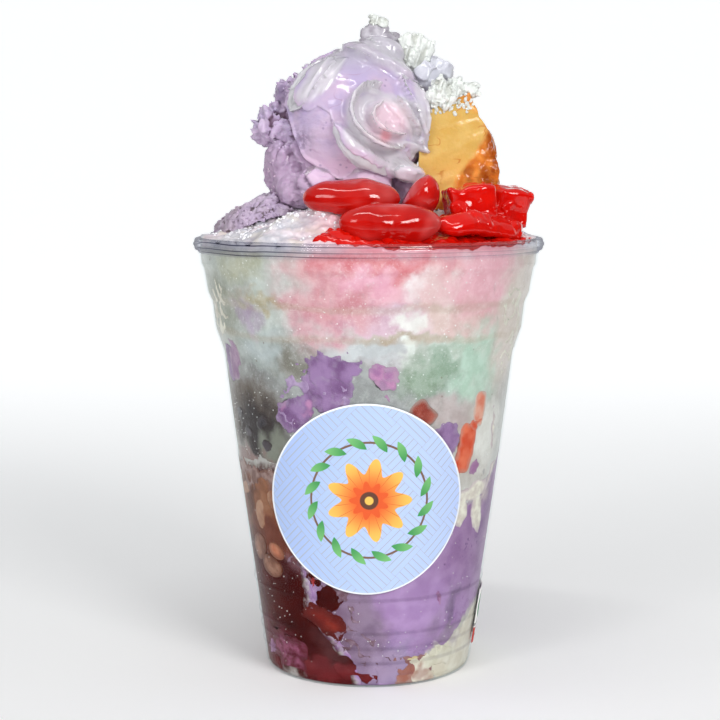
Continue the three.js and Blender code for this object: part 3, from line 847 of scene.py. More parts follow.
def wall_map(board):
    """Turn in degrees and height in mm as one place on the wall, with wandering edges."""
    x, y, z = board.axes()
    turn = x.math("ARCTAN2", y.math("ABSOLUTE")) * math.degrees(1)
    first = board.noise(7, 4) - 0.5
    second = board.noise(6, 4, board.stretched(1, 1.1, -1)) - 0.5
    values = {"X": turn + first * TURN_DRIFT, "Y": z + second * HEIGHT_DRIFT}
    return board.node("ShaderNodeCombineXYZ", {}, values)


def spot(board, at, turn, height, half_turn, half_height, soft):
    """1 inside a stain and 0 outside it."""
    values = {0: at, 1: (1 / half_turn, 1 / half_height, 0), 2: (-turn / half_turn, -height / half_height, 0)}
    scaled = board.node("ShaderNodeVectorMath", {"operation": "MULTIPLY_ADD"}, values)
    away = board.node("ShaderNodeVectorMath", {"operation": "LENGTH"}, {0: scaled}, "Value")
    return away.smooth(1 + soft, 1 - soft)


def stained(board, colour, at, stains):
    """Lays stains on a colour, each one over those before it."""
    for turn, height, half_turn, half_height, soft, tone in stains:
        colour = board.mix(spot(board, at, turn, height, half_turn, half_height, soft), colour, tint(*tone))
    return colour


def threads(board, size, width, at):
    """Thin wandering lines: where a noise crosses its middle."""
    return (board.noise(size, 1.5, at) - 0.5).math("ABSOLUTE").smooth(width, width / 3)


def mottled(board, colour, cloudy, dark_share, dark, light_share, light):
    """Draws a colour towards a dark tone and a light one, as cloudy runs from 0 to 1."""
    darker = board.mix(dark_share, colour, tint(*dark))
    lighter = board.mix(light_share, colour, tint(*light))
    return board.mix(cloudy, darker, lighter)


print("fillings end", WALL_TOUCH, "mm deep in a wall of", WALL_THICK, "mm")


# %% [markdown]
# ### Shaved ice
#
# Pressed ice is smooth where it wets the plastic, with small hollows between its crystals. Milk
# makes it white, syrup from the top makes it pink, and where only water is left it turns grey
# and lets the dark layers below show. Its heap is coarse, so there its skin is pushed out in
# grains of two sizes.

# %% The ice's skin
HEAP_FOOT = 117.5         # above this height the ice is free of the wall


def ice_skin():
    """Smooth with small hollows at the wall, coarse on the heap."""
    skin = evened(["shaved_ice"], CELL["ice"]).swell(0.22)
    p = skin.points
    free = step(p[:, 2], HEAP_FOOT, HEAP_FOOT + 2.5)
    grain = 1.3 * (0.55 - grains(p, 3.4, 5)) + 0.7 * (0.55 - grains(p, 1.5, 9)) + 0.5 * cloud(p, 8, 2)
    skin.swell(free * grain)
    press(skin)
    hollow = 0.3 * step(cloud(skin.points, 2.4, 31, 2), 0.55, 1.1) * (1 - free)
    radius = np.hypot(skin.points[:, 0], skin.points[:, 1])
    skin.points[:, :2] *= (1 - hollow * step(radius, 20, 25) / np.maximum(radius, 1))[:, None]
    return skin, {"free": free, "hollow": hollow / 0.3, "grain": free * grain}


# %% The ice's finish
ICE_SHADE_LINES = (95.8, 104.0)                # heights of two painted tan shade lines at the shoulder's steps
ICE_STAINS = [                           # turn, height, half of each, softness and tone
    (-5, 80, 75, 13, 0.35, (152, 153, 152)),         # clear grey ice at half height
    (-38, 94, 24, 7, 0.6, (176, 184, 180)),          # milky, a little green, on the left
    (-28, 90, 15, 6, 0.5, (134, 134, 128)),
    (-28, 90, 10, 5, 0.6, (148, 142, 132)),
    (-66, 74, 34, 10, 0.4, (108, 94, 84)),           # dark towards the syrup
    (-53, 69, 18, 9, 0.5, (40, 28, 30)),
    (-38, 93, 10, 4, 0.7, (186, 194, 194)),
    (-26, 90, 11, 5.5, 0.5, (132, 128, 118)),
    (-43, 64.5, 7, 5, 0.5, (128, 130, 118)),
    (-60, 59.5, 26, 3.5, 0.5, (146, 118, 114)),
    (-40, 111, 34, 12, 0.6, (198, 204, 197)),
    (-66, 104, 20, 9, 0.6, (160, 161, 146)),
    (-46.6, 115, 9, 5, 0.7, (184, 182, 156)),
    (-47, 102, 6, 4, 0.7, (182, 162, 184)),
    # painted tan shade line under the upper step of the shoulder
    (-36, 105.5, 14, 1.6, 0.8, (186, 174, 144)),
    (4, 108, 29, 16, 0.5, (229, 162, 176)),          # pink under the fruit
    (42, 108, 24, 16, 0.6, (238, 176, 188)),
    (-12, 107, 10, 10, 0.7, (219, 156, 164)),
    (2, 116, 24, 4, 0.7, (222, 124, 132)),
    (-3.7, 110.5, 7, 4, 0.7, (238, 172, 192)),
    (6, 101, 26, 4.5, 0.6, (216, 176, 194)),
    (-14, 103.5, 12, 5.5, 0.7, (212, 138, 148)),
    (36, 98.5, 11, 6, 0.7, (230, 180, 180)),
    (13.8, 110, 5, 4, 0.7, (244, 226, 228)),
    (23, 110, 8, 5, 0.8, (236, 200, 200)),
    (14, 101, 4.5, 3.5, 0.6, (240, 234, 230)),
    (25, 101.5, 7, 4, 0.7, (230, 200, 194)),
    (0, 92.6, 16, 4.5, 0.6, (200, 202, 204)),        # white line under the pink
    (24.7, 92.3, 10, 5, 0.6, (206, 210, 202)),
    (14.2, 92.6, 4, 3.5, 0.5, (238, 240, 234)),
    # painted tan shade line under the lower step of the shoulder
    (15, 96.4, 18, 1.6, 0.8, (190, 174, 156)),
    (46, 88, 18, 11, 0.5, (188, 216, 196)),          # mint on the right
    (22, 85.5, 9, 6, 0.7, (134, 156, 132)),
    (29, 89, 6, 4, 0.7, (150, 174, 152)),
    (66, 100, 15, 20, 0.5, (226, 210, 200)),
    (46, 66, 22, 14, 0.4, (200, 192, 184)),          # milky beside the label
    (33, 75, 12, 4, 0.7, (190, 172, 170)),
    (58, 69, 10, 8, 0.6, (232, 228, 220)),
]


# %% Ice at the wall and on the heap
def ice_finish():
    """Stains at the wall, and on the heap white ice with pink syrup, with painted shade in hollows and
    between grains.
    """
    board = Finish("shaved ice")
    at = wall_map(board)
    colour = stained(board, tint(207, 206, 200), at, ICE_STAINS)
    x, y, z = board.axes()

    # Painted shade: tan lines at the two steps of the shoulder.
    rings = lines_at(z + (board.noise(9, 2) - 0.5) * 4, ICE_SHADE_LINES, 1.5, 0.3)
    colour = board.mix(rings * 0.28, colour, tint(182, 158, 126))

    cloudy = board.noise(4.5, 5, rough=0.66).smooth(0.38, 0.64)
    deep = spot(board, at, -55, 69, 26, 13, 0.5)
    colour = mottled(board, colour, cloudy, 0.1, (126, 116, 112), deep * -0.13 + 0.16, (252, 250, 250))
    crystals = board.noise(0.8, 3, rough=0.7).smooth(0.52, 0.72) * board.noise(6, 2).smooth(0.4, 0.6)
    colour = board.mix(crystals * (z.smooth(72, 92) * 0.26 + 0.04), colour, tint(252, 250, 250))
    speck = board.cells(1.7).smooth(0.15, 0.07) * board.noise(7, 1).smooth(0.5, 0.6)
    colour = board.mix(speck * 0.75, colour, tint(252, 252, 252))
    pore = board.cells(5.5, board.stretched(1, 1, -1)).smooth(0.07, 0.03)
    colour = board.mix(pore * 0.5, colour, tint(122, 92, 80))
    # Painted shade in the hollows between the crystals at the wall.
    colour = board.mix(board.layer("hollow") * 0.15, colour, tint(132, 126, 124))

    red_side = x.smooth(-22, 2) * y.smooth(-18, -34)
    heap = board.clouded(3.5, 4, (0.35, 0.65), (190, 190, 200), (226, 222, 226))
    heap = board.mix(board.noise(14, 2).smooth(0.5, 0.66) * 0.4, heap, tint(226, 190, 202))
    milky = board.noise(7, 3, board.stretched(1, 1, -1)).smooth(0.52, 0.66)
    heap = board.mix(milky * 0.5, heap, tint(214, 204, 186))
    heap = board.mix(red_side * 0.75, heap, tint(236, 130, 140))
    # Painted shade between the grains of the heap.
    heap = board.mix(board.layer("grain").smooth(-0.2, -0.9) * 0.5, heap, tint(150, 138, 150))
    colour = board.mix(board.layer("free"), colour, heap)

    rough = board.mix(board.noise(1.4, 3), (0.2, 0.2, 0.2, 1), (0.45, 0.45, 0.45, 1))
    wet = board.layer("free") * 0.7
    return board.done(board.surface(colour, rough, board.bumps(0.9, 4, 0.25, 0.35), Coat_Weight=wet))


ICE = ice_finish()
ice, ice_layers = ice_skin()
set_skin("ice", ice, ICE, ["shaved_ice"], ice_layers)

# %% [markdown]
# ### Beans in syrup
#
# The darkest layer: red-brown syrup that is nearly black where it is deep, brown where boiled
# beans stand close to the wall, with a magenta jelly at the foot.

# %% The syrup
SYRUP_STAINS = [
    (-60, 56.5, 32, 3.2, 0.6, (150, 116, 106)),
    (-58, 48, 34, 8, 0.4, (138, 84, 58)),
    (-68, 49, 6, 6, 0.5, (104, 58, 38)),
    (-54, 50, 7, 5, 0.7, (168, 116, 88)),
    (-50, 39, 17, 7, 0.5, (122, 68, 54)),
    (-38, 33, 7, 4, 0.6, (136, 96, 104)),
    (-40, 19, 28, 13, 0.4, (66, 8, 8)),
    (-66, 24, 16, 9, 0.5, (82, 18, 16)),
    (-18, 11, 12, 6, 0.5, (84, 44, 46)),
    (-60, 9, 20, 5, 0.5, (112, 44, 58)),
    (-24, 4.5, 30, 2.4, 0.5, (118, 46, 50)),
]


def syrup_finish():
    """Red-brown, nearly black in places, with pale specks."""
    board = Finish("bean syrup")
    colour = stained(board, tint(72, 15, 13), wall_map(board), SYRUP_STAINS)
    colour = board.mix(board.axes()[2].smooth(5.5, 3.2) * 0.7, colour, tint(112, 32, 36))
    cloudy = board.noise(3.2, 4, rough=0.6).smooth(0.36, 0.66)
    colour = mottled(board, colour, cloudy, 0.3, (40, 8, 10), 0.012, (190, 110, 94))
    speck = board.cells(2.3).smooth(0.1, 0.05) * board.noise(8, 1).smooth(0.46, 0.6)
    colour = board.mix(speck * 0.6, colour, tint(214, 176, 168))
    return board.done(board.surface(colour, 0.3, board.bumps(1.6, 3, 0.4, 0.4), Specular_IOR_Level=0.03))


SYRUP = syrup_finish()
syrup = press(evened(["bean_syrup"], CELL["filling"]).swell(0.2))
set_skin("syrup", syrup, SYRUP, ["bean_syrup"])

# %% [markdown]
# ### Yam jam and milk
#
# Yam jam is a smooth violet paste with darker flecks of yam. Milk lies under and beside it, and
# both run into each other near the label.

# %% The jam
JAM_STAINS = [
    (60, 42, 26, 16, 0.5, (150, 110, 156)),
    (14, 6, 16, 7, 0.6, (150, 130, 164)),
    (-14, 24, 11, 13, 0.7, (128, 100, 122)),
    (-7, 13, 12, 9, 0.7, (116, 88, 104)),
    (4, 6, 12, 5, 0.7, (158, 134, 162)),
    (-3, 17, 8, 9, 0.7, (132, 108, 130)),
    (44, 14, 12, 4, 0.6, (150, 128, 150)),
    (47, 21, 4, 4, 0.7, (124, 98, 132)),
    (67, 50, 6, 13, 0.5, (130, 90, 140)),
    (50, 52, 16, 4, 0.5, (198, 180, 180)),
    (26, 21, 14, 7, 0.7, (178, 140, 190)),
    (27, 1.2, 8, 2.6, 0.5, (164, 116, 98)),
]


def jam_finish():
    """Violet, paler and darker in clouds, with flecks of yam."""
    board = Finish("yam jam")
    at = wall_map(board)
    colour = stained(board, tint(168, 130, 178), at, JAM_STAINS)
    cloudy = board.noise(5, 4).smooth(0.34, 0.66)
    colour = mottled(board, colour, cloudy, 0.16, (110, 84, 130), 0.14, (216, 192, 226))
    many = spot(board, at, 58, 33, 15, 10, 0.5)
    fleck = board.cells(2.6).smooth(0.17, 0.09) * (many * 0.8 + board.noise(7, 1).smooth(0.55, 0.7) * 0.5)
    colour = board.mix(fleck, colour, tint(118, 82, 128))
    return board.done(board.surface(colour, 0.4, board.bumps(1.3, 3, 0.3, 0.4)))


JAM = jam_finish()
jam = press(evened(["ube_jam"], CELL["filling"]).swell(0.2))
set_skin("jam", jam, JAM, ["ube_jam"])


# %% The milk
MILK_STAINS = [
    (47, 15, 9, 4, 0.6, (172, 156, 160)),
    (36, 8, 12, 3, 0.6, (214, 208, 186)),
    (28, 1.2, 8, 2.6, 0.5, (164, 116, 98)),
]


def milk_finish():
    """Cream-coloured, stained by its neighbours."""
    board = Finish("milk cream")
    colour = stained(board, tint(222, 213, 194), wall_map(board), MILK_STAINS)
    cloudy = board.noise(4, 4).smooth(0.36, 0.66)
    colour = mottled(board, colour, cloudy, 0.2, (196, 180, 162), 0.3, (250, 248, 240))
    return board.done(board.surface(colour, 0.35, board.bumps(1.6, 3, 0.3, 0.4)))


MILK = milk_finish()
milk = press(evened(["cream"], CELL["filling"]).swell(0.2))
set_skin("milk", milk, MILK, ["cream"])

# %% [markdown]
# ### Where the fillings run into each other
#
# Wet fillings have no sharp border. Along every seam a thin mixture creeps over both of them. To
# find the seams, rays from outside ask which filling each place on the wall shows. Each answer is
# a map of ones and zeros, and softened maps say how much of each filling a place has a share in.
# Where no filling has the place to itself, the film comes forward, and the shares mix its colour.

# %% The seam film
SEAM_STEP, SEAM_COLUMNS = 0.75, 341      # spacing of the film's corners in mm, and how many go round
SEAM_FOOT, SEAM_TOP = 0.6, 70            # heights between which there are seams
SEAM_SOFT = 16                           # how often the maps of the fillings are softened
FAR = 9.0                                # no ray looks further than this, in mm


def seam_film(fillings):
    """A film all round the wall that shows only near the seams, and the shares of each filling."""
    around = np.linspace(-np.pi, np.pi, SEAM_COLUMNS)
    turn, height = np.meshgrid(around, np.arange(SEAM_FOOT, SEAM_TOP, SEAM_STEP))
    radius = wall_radius(height)
    way = np.stack([np.sin(turn), -np.cos(turn), np.zeros_like(turn)], axis=-1)
    place = way * radius[..., None] + np.stack([0 * turn, 0 * turn, height], axis=-1)
    starts = [Vector(point) for point in (place + way).reshape(-1, 3)]
    aims = [Vector(inwards) for inwards in -way.reshape(-1, 3)]
    depths = []
    for skin in fillings:
        tree = tree_of(skin)
        hits = [tree.ray_cast(start, aim, FAR)[3] for start, aim in zip(starts, aims)]
        depths.append([FAR if hit is None else hit for hit in hits])
    shown = np.argmin(depths, axis=0).reshape(turn.shape)
    shares = [softened(np.where(shown == k, 1.0, 0.0), SEAM_SOFT) for k in range(len(fillings))]
    noise = cloud(place.reshape(-1, 3), 4.5, 17, 3).reshape(turn.shape)
    alone = np.maximum.reduce(shares)
    mask = 0.86 - alone + 0.16 * noise
    forward = 1.46 + 0.12 * step(height, 3.6, 2.6)               # a little more at the foot
    depth = WALL_TOUCH + 1.4 - forward * step(mask, -0.03, 0.05)

    def sheet(extra):
        return place - way * (depth + extra)[..., None]

    layers = {name: np.tile(share.ravel(), 2) for name, share in zip(("icy", "dark", "violet"), shares)}
    return slab(sheet(0), sheet(0.4)), layers


def seam_finish():
    """The tones of the fillings, mixed by their shares."""
    board = Finish("mixture at the seams")
    colour = board.mix(board.layer("icy"), tint(200, 196, 184), tint(176, 172, 170))
    for layer, tone in (("dark", (74, 22, 20)), ("violet", (158, 120, 168))):
        share = board.layer(layer) + (board.noise(2.6, 4) - 0.5) * 0.9
        colour = board.mix(share.smooth(0.2, 0.8), colour, tint(*tone))
    thread = board.noise(1.8, 4, rough=0.65).smooth(0.5, 0.64)
    colour = board.mix(thread * 0.28, colour, tint(224, 212, 214))
    colour = stained(board, colour, wall_map(board), [(20, 3, 8, 5, 0.6, (164, 104, 88))])
    return board.done(board.surface(colour, 0.35, board.bumps(1.4, 3, 0.3, 0.4)))


seam, seam_layers = seam_film([ice, syrup, jam, milk])
set_skin("seam_film", seam, seam_finish(), (), seam_layers)

# %% [markdown]
# ## Pieces pressed on the wall
#
# Lumps of jam with torn edges, jelly cut into cubes and slivers, and beans lie at the wall. Each
# keeps the outline of its solid, gets a ragged or a soft skin, and ends a hair further out than
# the filling round it, so it is seen whole. Juice blurs its edge on a real cup, so along its
# outline a piece takes the tone of what it lies in.

# %% Pieces at the wall
PIECE_TOUCH = 0.42         # how deep in the plastic a piece ends, in mm
TURNED_AWAY = 0.75         # a piece's outline is where it faces outwards less than this


def inside_share(skin, reach):
    """0 along the outline of a piece as seen through the wall, 1 from reach mm inside it."""
    outwards = skin.points * (1, 1, 0)
    outwards /= np.linalg.norm(outwards, axis=1, keepdims=True)
    facing = np.einsum("ij,ij->i", skin.normals(), outwards)
    outline = skin.points[facing < TURNED_AWAY]
    rim = KDTree(len(outline))
    for k, point in enumerate(outline):
        rim.insert(point, k)
    rim.balance()
    away = np.array([rim.find(point)[2] for point in skin.points])
    return step(away + 0.5 * cloud(skin.points, 2, 3), 0, reach)


def wall_piece(name, node, finish, ragged, size=2.6, fade=1.8):
    """One piece at the wall, its skin pushed in and out by up to ragged mm."""
    skin = evened([node], CELL["piece"]).smooth(3)
    skin.swell(0.45 + ragged * cloud(skin.points, size, len(name), 3))
    press(skin, PIECE_TOUCH, 4)
    set_skin(name, skin, finish, [node], {"inside": inside_share(skin, fade)})


def faded(board, colour, around, share=0.85):
    """Lets a piece take the tone of what it lies in along its outline."""
    return board.mix(board.layer("inside") * -share + share, colour, tint(*around))


# %% Finishes of the pieces at the wall
def jelly_finish(name, deep, bright, rough=0.12, cloud_size=4, milky=0.0):
    """Wet jelly: deep where one looks into it, with a painted sheen that brightens its edges."""
    board = Finish(name)
    # Painted sheen: the colour brightens where the surface is seen aslant.
    share = board.slant(0.35) * 0.6 + board.noise(cloud_size, 3).smooth(0.35, 0.7) * 0.4
    colour = board.mix(share, tint(*deep), tint(*bright))
    colour = board.mix(board.noise(2 * cloud_size, 2).smooth(0.52, 0.68) * milky, colour, tint(214, 108, 106))
    bumps = board.bumps(2.2, 2, 0.3, 0.35)
    return board.done(board.surface(colour, rough, bumps, Coat_Weight=1.0, Coat_Roughness=0.07, Coat_IOR=1.4))


def plain_finish(name, dark, light, size=3.0, rough=0.38, wet=0.0, around=None):
    """A paste in two shades."""
    board = Finish(name)
    colour = board.clouded(size, 4, (0.36, 0.64), dark, light)
    if around:
        colour = faded(board, colour, around, 0.7)
    return board.done(board.surface(colour, rough, board.bumps(1.2, 3, 0.3, 0.4), Coat_Weight=wet))


def lump_finish():
    """Yam jam, pink in places, with dark flecks."""
    board = Finish("yam jam lumps")
    colour = board.clouded(5, 3, (0.35, 0.65), (122, 86, 130), (158, 124, 168))
    pink = board.noise(6, 2, board.stretched(1, -1, 1)).smooth(0.56, 0.7)
    colour = board.mix(pink * 0.8, colour, tint(200, 140, 180))
    colour = board.mix(board.cells(1.9).smooth(0.15, 0.07) * 0.4, colour, tint(112, 76, 126))
    colour = faded(board, colour, (166, 146, 172), 0.6)
    return board.done(board.surface(colour, 0.45, board.bumps(1.3, 3, 0.15, 0.3)))


def sunk_finish(name, dark, light, around, size=3.0):
    """A piece in two shades that fades into what it lies in along its outline."""
    board = Finish(name)
    colour = board.clouded(size, 3, (0.36, 0.66), dark, light)
    colour = faded(board, colour, around)
    return board.done(board.surface(colour, 0.35, board.bumps(2, 2, 0.2, 0.3)))


# %% All pieces at the wall
LUMPS = lump_finish()
ORANGE_JELLY = {
    1: sunk_finish("orange jelly", (214, 76, 44), (232, 118, 84), (206, 136, 118), 4),
    2: sunk_finish("pale orange jelly", (222, 128, 102), (230, 168, 146), (206, 186, 176), 4),
    3: sunk_finish("brown red jelly", (142, 58, 48), (176, 92, 78), (164, 140, 132), 4),
}
DARK_RED_JELLY = sunk_finish("red jelly in syrup", (128, 28, 20), (156, 50, 36), (76, 18, 18), 5)
MAGENTA_JELLY = sunk_finish("magenta jelly", (100, 30, 48), (150, 78, 108), (92, 28, 34), 2.0)
BEAN = sunk_finish("boiled bean", (120, 72, 52), (166, 118, 96), (100, 52, 38))
RED_BEAN = sunk_finish("boiled red bean", (184, 104, 74), (210, 140, 108), (130, 78, 60))
BROWN_JELLY = sunk_finish("brown jelly", (140, 70, 50), (168, 102, 80), (152, 112, 114), 4)

PINK_JAM = plain_finish("pink jam", (162, 112, 156), (194, 138, 176), around=(176, 150, 170))
for k in range(1, 6):
    wall_piece(f"jam_lump_{k}", f"ube_lump_{k}", PINK_JAM if k == 4 else LUMPS, 1.3, 1.9)
for k in range(1, 4):
    wall_piece(f"orange_piece_{k}", f"orange_jelly_{k}", ORANGE_JELLY[k], 0.6, 4, 1.2)
wall_piece("red_cube", "red_jelly_cube", DARK_RED_JELLY, 1.3, 2.6, 5)
wall_piece("magenta_piece", "magenta_jelly", MAGENTA_JELLY, 1.5, 2.4, 2.6)
wall_piece("brown_piece", "brown_jelly", BROWN_JELLY, 1.5, 2.6, 5.5)
wall_piece("pale_bean_1", "white_bean_1", BEAN, 0.1, 5)
wall_piece("pale_bean_2", "white_bean_2", BEAN, 0.1, 5)
wall_piece("small_red_bean", "red_bean", RED_BEAN, 0.1, 5)

# %% [markdown]
# ### Smears between wall and filling
#
# Jam, milk and syrup creep along the plastic in films with torn edges. A film is a sheet close
# to the wall whose depth follows a mask: where the mask is above zero the sheet lies in front of
# the filling, and elsewhere it dips behind it and can't be seen. So a few soft ovals and a noise
# draw a ragged outline, and no face has to be cut. Each film has a twin on the back of the cup,
# whose outline differs, as its noise is taken at another place. The twins that would still be
# known again are shifted too.

# %% Films at the wall
FILM_STEP, FILM_DIP = 0.4, 1.4           # spacing of a film's corners, and how far it dips out of sight
FILM_MARGIN = 2                          # room round the ovals, in mm
FILM_FOOT, FILM_TOP = 0.6, 116.4         # heights between which a film may lie


def joined(skins):
    """Several skins as one."""
    starts = np.cumsum([0] + [len(skin.points) for skin in skins[:-1]])
    faces = np.concatenate([skin.faces + start for skin, start in zip(skins, starts)])
    return Skin(np.concatenate([skin.points for skin in skins]), faces)


def blot(across, up, ovals):
    """How far inside a group of leaning ovals each place lies, in mm."""
    best = np.full(across.shape, -9.0)
    for middle, height, half_across, half_up, lean in ovals:
        a, b = across - middle, up - height
        u = (a * math.cos(lean) + b * math.sin(lean)) / half_across
        v = (b * math.cos(lean) - a * math.sin(lean)) / half_up
        best = np.maximum(best, (1 - np.hypot(u, v)) * min(half_across, half_up))
    return best


def wall_film(ovals, ragged, size, lace, lift, side):
    """One film. Ovals: turn in degrees, height, half width, half height in mm, and lean."""
    flat = [(math.radians(turn) * wall_radius(height), height, *rest) for turn, height, *rest in ovals]
    widest = [(s, z, max(a, b) + FILM_MARGIN + ragged) for s, z, a, b, _ in flat]
    left, right = min(s - reach for s, _, reach in widest), max(s + reach for s, _, reach in widest)
    low = max(FILM_FOOT, min(z - reach for _, z, reach in widest))
    high = min(FILM_TOP, max(z + reach for _, z, reach in widest))
    s, z = np.meshgrid(np.arange(left, right, FILM_STEP), np.arange(low, high, FILM_STEP))
    radius = wall_radius(z)
    turn = s / radius
    place = np.stack([radius * np.sin(turn), -side * radius * np.cos(turn), z], axis=-1)
    flat_place = place.reshape(-1, 3)
    mask = blot(s, z, flat) + ragged * cloud(flat_place, size, 3, 3).reshape(s.shape)
    if lace:
        mask = np.minimum(mask, lace - 3.2 * np.abs(cloud(flat_place, 2.2 * size, 8, 2)).reshape(s.shape))
    depth = WALL_TOUCH + FILM_DIP - (FILM_DIP + lift) * step(mask, -0.25, 0.35)

    def sheet(extra):
        shrunk = (radius - depth - extra) / radius
        return place * np.stack([shrunk, shrunk, np.ones_like(shrunk)], axis=-1)

    return slab(sheet(0), sheet(0.4)), np.tile(step(mask, 0, 1.3).ravel(), 2)


def smear(name, finish, ovals, ragged=1.0, size=2.2, lace=0.0, lift=0.16, shift=(0, 0)):
    """A film on the front and its twin on the back, which may be shifted in turn and height."""
    twins = [(turn + shift[0], height + shift[1], *rest) for turn, height, *rest in ovals]
    films, inside = zip(*[wall_film(group, ragged, size, lace, lift, side)
                          for group, side in ((ovals, 1), (twins, -1))])
    set_skin(name, joined(films), finish, (), {"inside": np.concatenate(inside)})


# %% What has smeared
FADED_JAM = plain_finish("faded jam", (156, 120, 154), (180, 148, 174), around=(176, 172, 168))
PALE_LACE = plain_finish("pale lace", (160, 132, 170), (188, 164, 196))
DARK_BEANS = plain_finish("dark beans", (40, 32, 38), (72, 62, 68), 3, 0.3, 0.5, (76, 68, 66))
SYRUP_EDGE = plain_finish("syrup edge", (124, 90, 82), (164, 136, 130), around=(118, 78, 66))
MILKY_JAM = plain_finish("milky jam", (110, 80, 92), (164, 138, 158), around=(104, 66, 74))
CREAM_DRIPS = plain_finish("cream drips", (216, 204, 192), (244, 238, 222), around=(176, 150, 172))
CREAM_CURLS = plain_finish("cream curls", (214, 206, 192), (238, 232, 218))
PALE_ICE = plain_finish("pale ice", (206, 202, 206), (236, 232, 236))
JAM_GRAIN = plain_finish("yam grains", (112, 76, 122), (136, 98, 146))
OCHRE = plain_finish("ochre cream", (190, 166, 124), (214, 196, 152))
LILAC_MILK = plain_finish("lilac milk", (184, 160, 186), (226, 214, 226))
RED_BIT = plain_finish("red bit", (150, 40, 44), (184, 70, 72))
SUNK_BEANS = plain_finish("sunk beans", (150, 100, 76), (184, 140, 114), 4)
LILAC_PATCH = plain_finish("lilac patch", (140, 92, 130), (176, 130, 170))

smear("jam_film_1", LUMPS,
      [(-17, 88.5, 6.2, 3.6, 0), (-9, 88, 3.6, 4.2, 0), (-17, 82.5, 3.2, 6, 0.1), (-14, 78, 2.6, 3.5, 0)],
      1.9, 1.9)
smear("jam_film_2", FADED_JAM, [(-64, 88.5, 3.6, 6.6, 0.1)], 1.3)
smear("jam_film_3", LUMPS, [(-31, 75.5, 5.4, 4.0, 0), (-25, 79, 2.2, 2.6, 0)], 2.0, 1.9)
smear("jam_film_4", PINK_JAM, [(3.6, 87.3, 2.6, 2.4, 0), (7, 84.6, 2.6, 1.7, -0.5)], 0.9)
smear("jam_streak", PINK_JAM, [(6.6, 81, 0.8, 2.0, 0.5)], 0.5)
smear("jam_film_5", LUMPS, [(33, 69, 4.2, 4.6, 0)], 1.0)
smear("jam_lace", PALE_LACE,
      [(-27, 81, 6.5, 5, 0), (-9, 80, 2.4, 4.5, 0), (-32, 75, 4.6, 4, 0)], 1.4, 1.7, 0.9, 0.2)
smear("dark_beans", DARK_BEANS,
      [(-49, 72, 3.0, 2.2, 0.3), (-59, 69, 3.0, 2.2, -0.2), (-47, 66, 2.8, 2.0, -0.4),
       (-66, 74, 2.6, 2.0, 0.2)], 0.7, 2.6)
smear("syrup_edge", SYRUP_EDGE,
      [(-86, 57.6, 8, 1.7, 0), (-70, 58, 8, 2.0, 0), (-55, 57.4, 6, 1.8, 0.1), (-43, 57, 5, 1.6, 0),
       (-66, 53.5, 5, 2, 0)], 1.7)
smear("white_curls", PALE_ICE, [(-62, 63, 4.4, 4.6, 0)], 1.0, 1.6, 0.25, shift=(14, 5))
smear("sunk_beans", SUNK_BEANS,
      [(-58, 46, 2.8, 4.4, 0), (-72, 52, 4, 2.2, 0.2), (-47, 51, 2.2, 3.4, 0.4)], 0.4, 3)
smear("syrup_tongues", SYRUP,
      [(-26, 30, 3, 3, -0.6), (-20, 25, 4.6, 4, -0.6), (-14, 6, 4, 2.6, 0), (-3, 2.6, 6, 1.6, 0)],
      1.4, 3.2, 0, 0.08)
smear("milky_edge", MILKY_JAM,
      [(-37, 35, 3, 1.6, -0.6), (-29, 32, 3.6, 1.8, -0.8), (-12, 27, 4, 2.4, -0.3), (-9, 20, 3, 4, 0),
       (-12, 14, 4, 4, 0), (-3, 12, 4, 4, 0), (6, 7, 4, 2, 0)], 1.6, 1.6, 0.9)
smear("jam_at_brown", JAM,
      [(10, 4, 3, 5, 0.1), (16, 6.6, 4, 1.4, 0.2), (20, 9, 5, 1.2, 0.1)], 1.3, 1.8, 0, 0.26)
smear("jam_corner", JAM,
      [(44, 12.5, 4.6, 2.6, 0.35), (53, 15.5, 2.8, 2.6, 0.6), (60, 19, 2, 2.2, 0.6)], 0.8, 2.6, 0, 0.1)
smear("cream_corner", MILK,
      [(32, 5.4, 4.4, 2.8, 0.1), (31, 2.0, 4.4, 3, 0), (42, 6.6, 4.6, 2.8, 0.1), (24, 6.6, 4, 1.2, 0.2)],
      1.0, 2.0, 0, 0.28)
smear("red_bit", RED_BIT, [(-27.6, 29, 1.0, 1.4, 0.4)], 0.6, 1.6)
# The thin third oval is a painted glint, in the milk's pale tone.
smear("milk_bits", LILAC_MILK,
      [(-9, 14.5, 2.6, 1.5, 0.3), (-14, 11.5, 1.6, 1.2, 0), (0, 20.5, 2.6, 0.6, -0.4)], 1.1, 1.3, 0.5)
smear("cream_drips", CREAM_DRIPS,
      [(44, 48.5, 3.6, 5.4, 0.1), (57, 46.5, 3.2, 6, 0.15), (54, 53, 7, 3, 0.25), (67, 56, 1.4, 6.5, -0.7),
       (63, 70, 0.7, 7, 0.05)], 0.8, 2.8, shift=(-12, 3))
smear("cream_curls_right", CREAM_CURLS, [(64, 101, 7, 8, 0), (68, 90, 5, 7, 0)],
      1.0, 1.6, 0.9, shift=(-22, -6))
smear("cream_curls_left", CREAM_CURLS, [(-68, 103, 6, 8, 0)], 1.0, 1.6, 0.9, shift=(22, -6))
smear("pink_smudge", PINK_JAM, [(50.8, 59.7, 2.8, 1.5, 0.3)], 0.9)
smear("yam_grains", JAM_GRAIN, [(56, 35, 4.5, 4.5, 0)], 2.2, 1.3, 0.45)
smear("magenta_streak", LILAC_PATCH, [(36.5, 24.5, 0.8, 2.4, 0.2)], 0.5, 1.5)
smear("orange_corner", ORANGE_JELLY[1],
      [(47.5, 71.5, 1.5, 2.2, 0.7), (50, 72.5, 2.6, 1.0, 0.1)], 0.3, 1.6)
smear("ochre_streak", OCHRE, [(24, 7.6, 5, 0.9, 0.1)], 0.6, 2.0)
